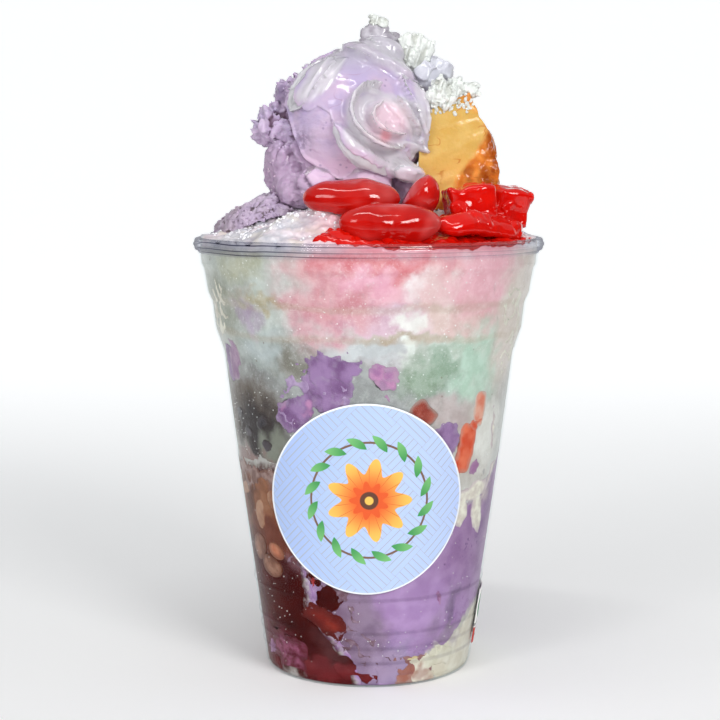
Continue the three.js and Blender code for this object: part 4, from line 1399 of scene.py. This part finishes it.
smear("lilac_patch", LILAC_PATCH, [(-66, 6.8, 2.4, 2.2, 0)], 1.2, 1.6)

# %% [markdown]
# ## Ice cream
#
# A scoop draws a smooth face over the ball, and leaves torn, crumbly ice cream behind its edge.
# So the ball has two skins: a smooth round cap towards the front, with a thin raised lip and a
# crease round it, and rough lumps with deep creases everywhere else.

# %% The ball
SCOOP_CENTRE = np.array([-4.5, 0.0, 151.0])
CAP_TURN, CAP_RISE, CAP_REACH = math.radians(10), math.radians(25), 67.0


def cap_angle(points):
    """The angle in degrees from the middle of the smooth face."""
    axis_way = np.array([math.sin(CAP_TURN) * math.cos(CAP_RISE), -math.cos(CAP_TURN) * math.cos(CAP_RISE),
                         math.sin(CAP_RISE)])
    way = points - SCOOP_CENTRE
    way /= np.linalg.norm(way, axis=1, keepdims=True)
    return np.degrees(np.arccos(np.clip(way @ axis_way, -1, 1)))


def scoop_skin():
    """A smooth face with scrapes in front, torn lumps and crevices behind it."""
    skin = evened(["ice_cream_scoop"], CELL["piece"]).smooth(1)
    p = skin.points
    angle = cap_angle(p) + 4 * cloud(p, 8, 4)
    torn = step(angle, CAP_REACH, CAP_REACH + 7)
    lip = np.exp(-((angle - CAP_REACH) / 1.6) ** 2)
    crease = np.exp(-((angle - CAP_REACH - 4) / 1.8) ** 2)
    rough = 0.35 + 0.65 * step(p[:, 2], 141, 149)                 # the skirt is smoother than the top
    crevice = step(np.abs(cloud(p, 6, 12, 2)), 0.16, 0.02)
    ragged = 2.2 * facets(p, 4.4, 21) + 1.1 * facets(p, 1.9, 25) + 0.5 * cloud(p, 1.4, 15, 2) - 1.3 * crevice
    scrapes = np.abs(cloud(p * (0.5, 0.5, 1.6), 4.5, 8, 3)) - 0.3
    relief = torn * rough * ragged + 0.6 * lip - 1.0 * crease + (1 - torn) * 0.3 * scrapes
    skin.swell(relief)
    return skin, {"relief": relief, "torn": torn}


# %% The ball's finish
def cream_colour(board):
    """The smooth face: pale lilac, pinker with painted light at its foot, with streaks, scars and flecks of
    yam.
    """
    x, _, z = board.axes()
    colour = board.clouded(8, 3, (0.36, 0.64), (186, 171, 205), (200, 179, 204))
    # Painted light: the foot is made pinker and lighter, against the shade under the ball.
    colour = board.mix(z.smooth(152, 138) * 0.75, colour, tint(232, 202, 224))
    streak = board.noise(3, 4, board.stretched(0.5, 0.5, 1.4)).smooth(0.54, 0.68)
    colour = board.mix(streak * 0.35, colour, tint(166, 144, 182))
    fleck = board.cells(3.6).smooth(0.15, 0.05) * board.noise(8, 1).smooth(0.42, 0.55)
    colour = board.mix(fleck * 0.5, colour, tint(140, 120, 160))
    smudge = length(x + 18.6, z - 147.4).smooth(5, 1) * board.noise(2, 3).smooth(0.42, 0.58)
    colour = board.mix(smudge * 0.7, colour, tint(132, 116, 146))
    scar = threads(board, 8, 0.014, board.stretched(0.6, 0.6, 1.3)) * board.noise(9, 1).smooth(0.54, 0.66)
    return board.mix(scar * 0.35, colour, tint(166, 126, 156))


def ice_cream_finish():
    """The smooth face's tones, darker ones where torn, painted shade in creases, painted light on ridges."""
    board = Finish("yam ice cream")
    relief, torn = board.layer("relief"), board.layer("torn")
    colour = board.mix(torn * 0.5, cream_colour(board), tint(196, 178, 206))
    # Painted shade in the creases of the relief.
    colour = board.mix(relief.smooth(-0.2, -1.1) * 0.7, colour, tint(140, 112, 142))
    x, _, z = board.axes()
    colour = board.mix(torn * z.smooth(151, 143) * 0.6, colour, tint(160, 134, 162))
    # Painted shade: dark brown-purple deep in the crevices, stronger on top.
    brown = relief.smooth(-0.3, -1.2) * board.noise(5, 2).smooth(0.38, 0.52)
    colour = board.mix(brown * (z.smooth(146, 156) * 0.5 + 0.4), colour, tint(84, 54, 72))
    # Painted shade on the torn upper left.
    shade = torn * x.smooth(-17, -24) * z.smooth(152, 160) * board.noise(6, 2).smooth(0.4, 0.6)
    colour = board.mix(shade * 0.6, colour, tint(108, 88, 122))
    # Painted light on the ridges of the relief.
    colour = board.mix(relief.smooth(0.35, 1.0) * 0.35, colour, tint(214, 196, 222))
    shader = board.surface(colour, 0.4, board.bumps(0.8, 4, 0.4, 0.5), Coat_Weight=0.25, Coat_Roughness=0.2,
                           Subsurface_Weight=0.3, Subsurface_Radius=(1, 0.7, 0.9), Subsurface_Scale=0.0015)
    return board.done(shader)


ICE_CREAM = ice_cream_finish()
scoop, scoop_layers = scoop_skin()
set_skin("ice_cream_ball", scoop, ICE_CREAM, ["ice_cream_scoop"], scoop_layers)


# %% The melting lump beside it
def melting_lump():
    """Grains of two sizes and small broken planes."""
    skin = evened(["ice_cream_lump"], CELL["piece"])
    p = skin.points
    relief = 0.5 * (0.5 - grains(p, 2.2, 7)) + 0.5 * (0.5 - grains(p, 1.0, 4)) + 0.5 * facets(p, 1.6, 5)
    skin.swell(relief + 1.0 * cloud(p, 7, 5))
    return skin, {"relief": relief}


def melting_finish():
    """Lilac, greyer towards the wall, with painted shade in its pits and painted light on its bumps."""
    board = Finish("melting ice cream")
    colour = board.clouded(4, 3, (0.35, 0.65), (182, 164, 190), (210, 192, 214))
    greyer = board.axes()[0].smooth(-30, -40) * 0.5 + board.noise(5, 3).smooth(0.5, 0.66) * 0.5
    colour = board.mix(greyer * 0.7, colour, tint(136, 122, 126))
    # Painted shade in the pits.
    painted_pit_shade = board.layer("relief").smooth(-0.02, -0.35) * board.noise(3, 2).smooth(0.36, 0.56)
    colour = board.mix(painted_pit_shade * 0.9, colour, tint(88, 70, 76))
    # Painted light on the bumps.
    colour = board.mix(board.layer("relief").smooth(0.25, 0.6) * 0.5, colour, tint(228, 220, 234))
    return board.done(board.surface(colour, 0.38, board.bumps(0.7, 3, 0.3, 0.5), Coat_Weight=0.3))


MELTING = melting_finish()
lump, lump_layers = melting_lump()
set_skin("melting_lump", lump, MELTING, ["ice_cream_lump"], lump_layers)

# %% [markdown]
# ## Custard flan
#
# The cut face of a flan is smooth and pale yellow. Its baked side is darker: orange where the
# custard is full of small pores, amber and wrinkled where the caramel was. Pores are scattered
# spots where the skin is pushed in.

# %% The flan
SCRAPE_LEAN = np.array([[0.35, 0, -0.5], [0, 0.5, 0], [0.35, 0, 1.3]])      # the knife went up to the right


def flan_skin():
    """A scraped face, and wrinkles and pores where the custard is baked."""
    skin = evened(["leche_flan"], CELL["piece"]).smooth(3)
    p = skin.points
    side = step(p[:, 0] + 1.2 * cloud(p, 6, 3) - 0.16 * (p[:, 2] - 145), 30.5, 33)
    crust_line = 130.9 + 1.38 * (p[:, 0] - 19.9)                  # the baked foot rises to the right
    low = step(p[:, 2] + 2.0 * cloud(p, 6, 6) - crust_line, 1.4, -1.4)
    top = step(p[:, 2] + 1.5 * cloud(p, 5, 2) + 0.3 * (p[:, 0] - 26), 155.5, 158.5)
    baked = np.maximum(np.maximum(side, low), 0.7 * top)
    pores = step(grains(p, 2.1, 8), 0.32, 0.12) * step(cloud(p, 5, 14), -0.5, 0.2)
    wrinkles = 0.7 * cloud(p, 3.4, 21, 3)
    scrapes = 0.5 * (np.abs(cloud(p @ SCRAPE_LEAN, 7, 33, 2)) - 0.3)
    relief = baked * wrinkles - 0.5 * pores * np.maximum(baked, 0.1) + (1 - baked) * scrapes
    skin.swell(relief)
    return skin, {"baked": baked, "side": side, "pores": pores, "relief": relief}


def flan_finish():
    """Custard yellow, orange where baked and amber along its caramel side, with painted shade in its pores
    and hollows.
    """
    board = Finish("custard flan")
    baked, side, relief = board.layer("baked"), board.layer("side"), board.layer("relief")
    colour = board.clouded(7, 3, (0.35, 0.65), (214, 172, 90), (222, 186, 108))
    colour = board.mix(board.axes()[2].smooth(147, 137) * 0.6, colour, tint(242, 190, 106))
    orange = board.clouded(3, 3, (0.35, 0.65), (218, 118, 38), (236, 150, 66))
    colour = board.mix(baked * 0.9, colour, orange)
    colour = board.mix(side * board.noise(4, 3).smooth(0.3, 0.6) * 0.9, colour, tint(148, 60, 6))
    # Painted shade in the pores.
    colour = board.mix(board.layer("pores") * baked * 0.7, colour, tint(170, 84, 26))
    # Painted shade in the hollows of the relief.
    colour = board.mix(relief.smooth(-0.2, -0.8) * 0.6, colour, tint(150, 68, 22))
    nick = threads(board, 7, 0.022, board.stretched(1, 1, 2)) * board.noise(6, 1).smooth(0.5, 0.6)
    colour = board.mix(nick * 0.7, colour, tint(196, 116, 46))
    rough = board.mix(baked, (0.3, 0.3, 0.3, 1), (0.16, 0.16, 0.16, 1))
    shader = board.surface(colour, rough, board.bumps(0.9, 3, 0.25, 0.4), Coat_Weight=side * -0.3 + 0.4,
                           Coat_Roughness=0.12, Subsurface_Weight=0.3, Subsurface_Radius=(1, 0.5, 0.2),
                           Subsurface_Scale=0.0015)
    return board.done(shader)


FLAN = flan_finish()
flan, flan_layers = flan_skin()
set_skin("flan", flan, FLAN, ["leche_flan"], flan_layers)

# %% [markdown]
# ## Palm fruit and red jelly
#
# Sugar palm fruits are smooth, long and as clear as jelly, dyed a strong red. They need little
# more than a smooth skin, a very smooth wet coat and lamps of the right shape to be mirrored in
# it. The jelly pieces are the same stuff, torn instead of grown. A glaze, made of all of them in
# one smoothed skin, binds them, and the syrup that ran from them lies on the ice up to the wall.

# %% The red pieces
PALM_FRUIT = jelly_finish("palm fruit", (172, 6, 2), (214, 34, 26), 0.08, 7, 0.4)
RED_JELLY = jelly_finish("red jelly", (200, 6, 1), (226, 26, 12), 0.08, 5)

for k in range(1, 4):
    fruit = evened([f"palm_fruit_{k}"], CELL["piece"]).smooth(8)
    fruit.swell(0.12 + 0.4 * cloud(fruit.points, 7, k))
    if k == 3:                                                    # the small one is pressed flat on its left
        slant = (fruit.points - fruit.points.mean(axis=0)) @ (-0.72, -0.2, 0.66)
        fruit.points += np.outer(step(slant, 1.2, 5.4), (1.5, 0.4, -1.3))
    set_skin(f"fruit_{k}", fruit, PALM_FRUIT, [f"palm_fruit_{k}"])

JELLY_NODES = ["red_jelly_1", "red_jelly_2", "red_jelly_strand"]
for k, node in enumerate(JELLY_NODES):
    shard = evened([node], CELL["jelly"]).smooth(2)
    torn = 1.1 * cloud(shard.points, 5, k, 3) + 0.9 * facets(shard.points, 5, k + 12)
    shard.swell(torn + 0.4 * np.abs(cloud(shard.points, 2.4, k + 3, 1))).smooth(1)
    set_skin(node.replace("red_jelly", "jelly"), shard, RED_JELLY, [node])

glaze = evened(JELLY_NODES, CELL["glaze"]).smooth(3)
glaze.swell(0.4 + 0.55 * cloud(glaze.points, 4.5, 11, 2)).smooth(2)
set_skin("jelly_glaze", glaze, RED_JELLY)


# %% Red syrup along the rim
ABOVE_HEAP = 150           # rays come down on the ice from this height


def syrup_film():
    """Syrup that ran from the fruit to the wall: a sheet on the ice, sunk into it at its edges."""
    ground = tree_of(ice)
    turn, radius = np.meshgrid(np.radians(np.arange(-27, 92, 0.7)), np.arange(20, 46.8, 0.45))
    x, y = radius * np.sin(turn), -radius * np.cos(turn)
    starts = [Vector((a, b, ABOVE_HEAP)) for a, b in zip(x.ravel(), y.ravel())]
    hits = [ground.ray_cast(start, Vector((0, 0, -1)))[0] for start in starts]
    z = np.array([hit.z if hit else HEAP_FOOT for hit in hits]).reshape(x.shape)
    place = np.stack([x, y, z], axis=-1)
    noise = cloud(place.reshape(-1, 3), 6, 41, 3).reshape(x.shape)
    degrees = np.degrees(turn) + 7 * noise
    along = step(degrees, -21, -15) * step(degrees, 84, 76)
    across = step(radius + 4 * noise - 0.1 * np.abs(degrees - 30), 28.5, 31)
    thick = -1.1 + 2.3 * along * across + 0.3 * noise
    outer = step(radius, 45, 46.4)

    def sheet(shift):
        return np.stack([x, y, z + shift], axis=-1)

    return slab(sheet(thick), sheet(-1.6 - 1.8 * outer * along))


set_skin("rim_syrup", syrup_film(), RED_JELLY)

# %% [markdown]
# ## Young coconut
#
# The meat of a young coconut is a soft, milky jelly, shaved off in strips. They curl round each
# other like the petals of a rose, catch thin bright highlights along their edges, and take a
# pink tint from the syrup in their middle. Dry flakes of riper coconut are white and ragged.

# %% Strips and flakes
PAINTED_GLOW = 0.06        # painted glow, for light that wanders through the jelly and comes out on its dark side


def coconut_finish():
    """Milky jelly, pink in the heart of the rose, with painted sheen along its edges and a faint painted
    glow.
    """
    board = Finish("young coconut")
    x, _, z = board.axes()
    colour = board.clouded(5, 3, (0.35, 0.65), (186, 182, 190), (210, 208, 214))
    colour = board.mix(length(x - 6, z - 152).smooth(9, 3) * 0.55, colour, tint(236, 204, 212))
    # Painted sheen: paler where the surface is seen aslant.
    colour = board.mix(board.slant(0.4) * 0.35, colour, tint(232, 232, 236))
    shader = board.surface(colour, 0.1, board.bumps(1.8, 3, 0.45, 0.5), Coat_Weight=1.0,
                           Coat_Roughness=0.04, Coat_IOR=1.4, Subsurface_Weight=0.5,
                           Subsurface_Radius=(1, 0.9, 1), Subsurface_Scale=0.002,
                           Emission_Color=colour, Emission_Strength=PAINTED_GLOW)
    return board.done(shader)


def flake_finish():
    """Dry white coconut, with painted shade between its ribs."""
    board = Finish("coconut flake")
    colour = board.clouded(2, 3, (0.36, 0.64), (222, 226, 222), (240, 244, 240))
    # Painted shade between the ribs.
    colour = board.mix(board.layer("rib").smooth(0.1, -0.5) * 0.6, colour, tint(172, 174, 164))
    return board.done(board.surface(colour, 0.4, board.bumps(0.7, 3, 0.3, 0.6), Coat_Weight=0.4))


COCONUT, FLAKE = coconut_finish(), flake_finish()
GREY_COCONUT = plain_finish("grey coconut", (160, 154, 164), (204, 200, 208), 3, 0.12, 1.0)
strip_nodes = [f"young_coconut_{k}" for k in range(1, 9)] + ["young_coconut_arch", "young_coconut_leaf"]
strips = []
for k, node in enumerate(strip_nodes):
    leaf = node.endswith("leaf")
    strip = evened([node], CELL["strip"]).smooth(1 if leaf else 3)
    full = {"young_coconut_arch": 0.9, "young_coconut_leaf": 0.35}.get(node, -0.5)
    rough = 0.5 if leaf else 0.2
    strip.swell(full + 0.3 * cloud(strip.points, 3.2, k, 2) + rough * facets(strip.points, 3.6, k))
    strips.append(strip)
    tone = GREY_COCONUT if leaf else COCONUT
    set_skin(node.replace("young_coconut", "coconut"), strip, tone, [node])


# %% [markdown]
# ### The rose of thin jelly
#
# Where the strips lie on the ball, their own juice has set to a thin sheet that drapes over all of
# them, so that they look like the petals of one rose. The sheet is a grid of rays from the middle
# of the ball, each as long as what it meets. Ovals say where the sheet lies. Its folds are curves
# on the ball: a fold rises slowly on the right of its curve and ends in a steep edge on the left.
# In its heart the jelly has broken into small flat facets.

# %% Folds and facets
ROSE_TURN, ROSE_RISE, ROSE_RADIUS = math.radians(24), math.radians(3), 21.0
ROSE_STEP = 0.32                          # spacing of the sheet's corners in mm
ROSE_DIP = 3.0                            # how far the sheet dips out of sight outside its ovals
RAY_START = 40                            # rays at the ball start this far from its middle
ROSE_OVALS = [(-2, 13, 18, 17, 0), (0, 0.5, 12.4, 10.6, 0), (3, -9.5, 9.5, 4.4, -0.25), (13, 2, 4.4, 12, 0),
              (6, 28, 15, 11, 0), (-17, 15, 13, 6, 0.85), (12, -7.5, 5, 3.4, 0)]
WHITE_OVALS = [(0, 0.5, 11, 9.6, 0), (3, -9.5, 9, 4, -0.25), (13, 1, 5.6, 13, 0), (7, 22, 14, 6, -0.69),
               (-16, 16, 13, 5, 0.85)]
ROSE_FOLDS = [                            # curve (mm across and up from the heart), height, width
    ([(-12.2, -0.6), (-9.1, -2.6), (-7, -3.7), (-3.2, -4.4), (0.2, -5.2), (5.4, -7.6)], 0.9, 4.4),
    ([(0.6, 7.6), (-3, 8.7), (-5.8, 8.1), (-7.7, 5.9), (-8.4, 3.2), (-8, 0.5), (-6.5, -1.6), (-3.9, -2.6),
      (1, -3.8)], 1.0, 3.8),
    ([(-1, 6.6), (-2.6, 6.2), (-4.6, 5.3), (-5.8, 3.6), (-5.7, 1.5), (-4.7, -0.6), (-2.2, -2.2)], 0.6, 2.2),
    ([(10, -4.4), (5.5, -0.4), (2.5, 3.1), (-0.4, 7.2)], 0.8, 3.2),
    ([(13, -4.4), (10.1, -0.3), (8, 3.4), (4.8, 8.2)], 0.8, 2.6),
    ([(12.0, -3.4), (12.2, 3.7), (12.4, 10)], 0.8, 2.6),
    ([(3.2, -6.2), (8.5, -5), (14, -7.6)], 0.9, 4.6),
    ([(12.4, 9.6), (7.2, 12.9), (2.8, 16.1), (-1.5, 18.8), (-5.4, 24)], 0.9, 5.0),
    ([(-5.4, 23), (-10.2, 17.8), (-14, 12.3), (-18, 7.6)], 0.8, 3.4),
    ([(-8, 26), (-14, 20), (-19, 13), (-22.6, 6.5)], 0.5, 2.6),
]


def rounded(curve, times=3):
    """A curve with its corners cut off again and again."""
    points = np.array(curve, float)
    for _ in range(times):
        near = points[:-1] * 0.75 + points[1:] * 0.25
        far = points[:-1] * 0.25 + points[1:] * 0.75
        middle = np.stack([near, far], axis=1).reshape(-1, 2)
        points = np.concatenate([points[:1], middle, points[-1:]])
    return points


def fold_height(across, up, curve, height, width, edge=0.45):
    """How far a fold lifts each place, in mm."""
    points = rounded(curve)
    best = np.full(across.shape, 99.0)
    lift = np.zeros(across.shape)
    steps = np.linalg.norm(np.diff(points, axis=0), axis=1)
    total, done = steps.sum(), 0.0
    for (x0, y0), (x1, y1), run in zip(points[:-1], points[1:], steps):
        dx, dy = (x1 - x0) / run, (y1 - y0) / run
        a, b = across - x0, up - y0
        reach = np.clip(a * dx + b * dy, 0, run)
        away = np.hypot(a - reach * dx, b - reach * dy)
        left = dx * b - dy * a > 0
        share = (done + reach) / total
        fade = step(share, 0, 0.18) * step(share, 1, 0.82)
        slope = np.where(left, np.clip(1 - away / edge, 0, 1), np.clip(1 - away / width, 0, 1) ** 1.5)
        lift = np.where(away < best, fade * slope, lift)
        best = np.minimum(best, away)
        done += run
    return height * lift


print("folds:", len(ROSE_FOLDS), "and corners along the first:", len(rounded(ROSE_FOLDS[0][0])))


# %% The sheet
def rose_film():
    """A thin sheet of coconut jelly over the ball and the strips on it."""
    ground = tree_of(joined([scoop, *strips[:9]]))
    out = np.array([math.sin(ROSE_TURN) * math.cos(ROSE_RISE), -math.cos(ROSE_TURN) * math.cos(ROSE_RISE),
                    math.sin(ROSE_RISE)])
    right = np.array([math.cos(ROSE_TURN), math.sin(ROSE_TURN), 0])
    a, b = np.meshgrid(np.arange(-31, 21, ROSE_STEP), np.arange(-16, 38, ROSE_STEP))
    away, around = np.hypot(a, b), np.arctan2(b, a)
    angle = away / ROSE_RADIUS
    aside = np.cos(around)[..., None] * right + np.sin(around)[..., None] * np.cross(out, right)
    way = np.cos(angle)[..., None] * out + np.sin(angle)[..., None] * aside
    centre = Vector(SCOOP_CENTRE)
    hits = [ground.ray_cast(centre + RAY_START * Vector(w), -Vector(w))[3] for w in way.reshape(-1, 3)]
    reach = np.array([ROSE_RADIUS if hit is None else RAY_START - hit for hit in hits]).reshape(a.shape)
    reach = np.maximum(reach - 0.2, softened(reach, 16))
    flat = (SCOOP_CENTRE + way * reach[..., None]).reshape(-1, 3)
    noise = cloud(flat, 5, 61, 3).reshape(a.shape)
    mask = blot(a, b, ROSE_OVALS) + 1.2 * noise
    folds = np.maximum.reduce([fold_height(a + 0.5 * noise, b + 0.5 * noise, *fold) for fold in ROSE_FOLDS])
    heart = step(np.hypot(a - 1, b - 1.4), 5.4, 3.6) + step(np.hypot(a - 9, b + 8), 5, 3)
    broken = facets(flat, 3.4, 71).reshape(a.shape)
    thick = 0.3 + folds + 0.12 * noise + 0.55 * heart * (broken + 0.4)
    shown = step(mask, -0.3, 0.4)
    lift = ROSE_DIP * (shown - 1) + thick * shown

    def sheet(extra):
        return SCOOP_CENTRE + way * (reach + extra)[..., None]

    milky = step(blot(a, b, WHITE_OVALS) + 0.8 * noise, -0.6, 1.6)
    layers = {"thick": np.clip(0.55 * milky + 0.6 * folds, 0, 1), "heart": np.clip(heart, 0, 1)}
    skin = slab(sheet(lift), sheet(np.minimum(lift - 0.3, -1.2)))
    return skin, {name: np.tile(values.ravel(), 2) for name, values in layers.items()}


def rose_finish():
    """Ice cream tones where it is thin, white in its folds, with painted shade on top and a faint painted
    glow.
    """
    board = Finish("thin coconut jelly")
    x, _, z = board.axes()
    colour = board.mix(board.layer("thick").smooth(0.0, 0.8) * 0.85, cream_colour(board), tint(210, 207, 212))
    # Painted shade: greyer towards the top, where the lamps light it most.
    colour = board.mix(z.smooth(163, 171) * 0.6, colour, tint(178, 176, 184))
    colour = board.mix(length(x - 5, z - 152).smooth(7.5, 3) * 0.7, colour, tint(242, 206, 218))
    salmon = length(x - 4.5, z - 148.5).smooth(2.2, 0.6)
    colour = board.mix(salmon * 0.7, colour, tint(240, 158, 166))
    shader = board.surface(colour, 0.12, board.bumps(1.3, 3, 0.3, 0.4), Coat_Weight=1.0,
                           Coat_Roughness=0.05, Coat_IOR=1.45, Subsurface_Weight=0.6,
                           Subsurface_Radius=(1, 0.9, 1), Subsurface_Scale=0.0025,
                           Emission_Color=colour, Emission_Strength=PAINTED_GLOW)
    return board.done(shader)


ROSE = rose_finish()
rose, rose_layers = rose_film()
set_skin("coconut_rose", rose, ROSE, (), rose_layers)

# %% Flakes and the clear chunk
PEAK_CENTRE = np.array([3.6, -2.2, 173.6])
RIB_LEAN = np.array([[1.0, 0, 0.05], [0, 0.35, 0], [-0.3, 0, 0.15]])      # a flake's ribs run down and lean

flakes = []
for k in range(1, 5):
    flake = evened([f"coconut_flake_{k}"], CELL["flake"])
    p = flake.points
    rib = 0.4 - 1.3 * np.abs(cloud(p @ RIB_LEAN, 0.9, k, 1)) + 0.3 * cloud(p, 1.4, k + 9, 1)
    coarse = {1: 0.5, 4: 0.6}.get(k, 1.1)                             # the lower ones are torn more
    flake.swell((0.25 if k == 4 else 0.6) * rib + coarse * facets(p, 2.6, k + 30))
    flakes.append(flake)
    set_skin(f"flake_{k}", flake, FLAKE, [f"coconut_flake_{k}"], {"rib": rib})

peak = evened(["clear_jelly"], CELL["strip"])                         # soft jelly below the topmost leaf
peak.points = (peak.points - peak.points.mean(axis=0)) * (1.35, 0.9, 0.85) + PEAK_CENTRE
peak.swell(1.4 * facets(peak.points, 4.2, 16) + 0.4 * cloud(peak.points, 4, 5)).smooth(2)
set_skin("coconut_peak", peak, GREY_COCONUT)

chunk = evened(["clear_jelly"], CELL["strip"])
chunk.swell(1.9 * facets(chunk.points, 3.8, 6) + 0.3).smooth(1)
CLEAR_JELLY = jelly_finish("clear jelly", (192, 192, 204), (242, 244, 250), 0.06, 3)
set_skin("clear_chunk", chunk, CLEAR_JELLY, ["clear_jelly"])

# %% [markdown]
# ## Crystals, crumbs and bubbles
#
# Loose things lie on top of the relief: crystals on the ice, crumbs on ice cream and flan, and
# inside the plastic tiny bubbles and drops, painted white as their glints, in front of the dark
# layers. One tree of Geometry Nodes scatters all of them. It takes a ground, sets points on it
# where the ground's number "here" allows, and puts a small twenty-sided grain on each, turned
# and drawn out by chance. The seed is fixed, so they always fall the same way.

# %% The scattering tree
SCATTER_INPUTS = {"Ground": "Geometry", "Density": "Float", "Size": "Float", "Seed": "Int",
                  "Finish": "Material"}
scattering = Pattern("scattering", SCATTER_INPUTS)
number = {"data_type": "FLOAT"}
here = scattering.node("GeometryNodeInputNamedAttribute", number, {"Name": "here"}, "Attribute")
ground = {"Mesh": scattering.given("Ground"), "Density": here * scattering.given("Density"),
          "Seed": scattering.given("Seed")}
points = scattering.node("GeometryNodeDistributePointsOnFaces", {}, ground, "Points")
ball = {"Radius": scattering.given("Size"), "Subdivisions": 1}
grain = scattering.node("GeometryNodeMeshIcoSphere", {}, ball, "Mesh")


def by_chance(low, high, seed):
    """Three random numbers for each grain."""
    values = {"Min": low, "Max": high, "Seed": seed}
    return scattering.node("FunctionNodeRandomValue", {"data_type": "FLOAT_VECTOR"}, values, "Value")


grown = {"Points": points, "Instance": grain, "Rotation": by_chance((0, 0, 0), (6.28, 6.28, 6.28), 1),
         "Scale": by_chance((0.35, 0.35, 0.25), (1, 1, 0.8), 2)}
scattering.end(scattering.node("GeometryNodeInstanceOnPoints", {}, grown, "Instances"))


def scatter(name, skin, share, per_cm2, size, seed, finish):
    """Grains up to a size in mm on a skin, as many for each square cm as share allows."""
    mesh = bpy.data.meshes.new(name)
    mesh.from_pydata((skin.points * MM).tolist(), [], skin.faces.tolist())
    mesh.attributes.new("here", "FLOAT", "POINT").data.foreach_set("value", np.asarray(share, np.float32))
    grains_mesh = scattering.grow(mesh, Density=per_cm2 * 1e4, Size=size / 2 * MM, Seed=seed, Finish=finish)
    set_piece(name, grains_mesh, finish).data.shade_flat()


# %% What is scattered
CRYSTAL = plain_finish("ice crystal", (226, 224, 230), (250, 250, 252), 4, 0.12)
# White, as painted glints on the bubbles.
GLINTING_BUBBLE = plain_finish("bubble", (226, 222, 216), (250, 250, 248), 4, 0.2)

p = ice.points
from_axis = np.hypot(p[:, 0], p[:, 1])
on_heap = step(p[:, 2], 118.6, 120) * step(from_axis, 45.5, 44) * step(cloud(p, 6, 3), -0.3, 0.4)
scatter("ice_crystals", ice, on_heap, 55, 1.3, 3, CRYSTAL)

on_torn = step(scoop_layers["torn"] * step(cloud(scoop.points, 5, 8), -0.1, 0.3), 0.8, 1)
scatter("ice_cream_crumbs", scoop, on_torn, 10, 1.2, 5, ICE_CREAM)
on_lump = step(cloud(lump.points, 5, 2), -0.2, 0.3)
scatter("lump_crumbs", lump, on_lump, 40, 1.4, 6, MELTING)

p = flan.points
on_top = step(p[:, 2], 154.4, 155.6) * step(p[:, 0], 29, 26) * step(p[:, 1], 4, 0)
scatter("coconut_crumbs", flan, on_top, 90, 1.7, 7, FLAKE)
dry = joined(flakes)
on_dry = step(cloud(dry.points, 3, 8), -0.1, 0.4)
scatter("coconut_shreds", dry, on_dry, 50, 2.0, 8, FLAKE)


def inside_plastic():
    """A ring of faces in the middle of the wall, and how many bubbles each corner may have."""
    turn, height = np.meshgrid(np.linspace(-180, 180, 181)[:-1], np.arange(4, 115, 1.5))
    radius = wall_radius(height) - WALL_THICK / 2
    place = np.stack([radius * np.sin(np.radians(turn)), -radius * np.cos(np.radians(turn)), height], axis=-1)
    grid = np.arange(turn.size).reshape(turn.shape)
    beside = np.roll(grid, -1, axis=1)
    faces = np.stack([grid[:-1], beside[:-1], beside[1:], grid[1:]], axis=-1).reshape(-1, 4)
    front = np.sign(turn) * (90 - np.abs(np.abs(turn) - 90))     # the back mirrors the front

    def zone(middle, level, half_turn, half_height):
        return step(np.hypot((front - middle) / half_turn, (height - level) / half_height), 1.2, 0.5)

    share = 0.1 + zone(-58, 73, 30, 14) + 0.6 * zone(-38, 22, 30, 18)
    share = share + 0.5 * zone(0, 112, 60, 6) + 0.4 * zone(20, 20, 40, 20)
    skin = Skin(place.reshape(-1, 3), faces)
    return skin, share.ravel() * step(cloud(skin.points, 7, 4), -0.6, 0.5)


sheet_in_wall, bubble_share = inside_plastic()
scatter("bubbles", sheet_in_wall, bubble_share, 14, 0.42, 11, GLINTING_BUBBLE)
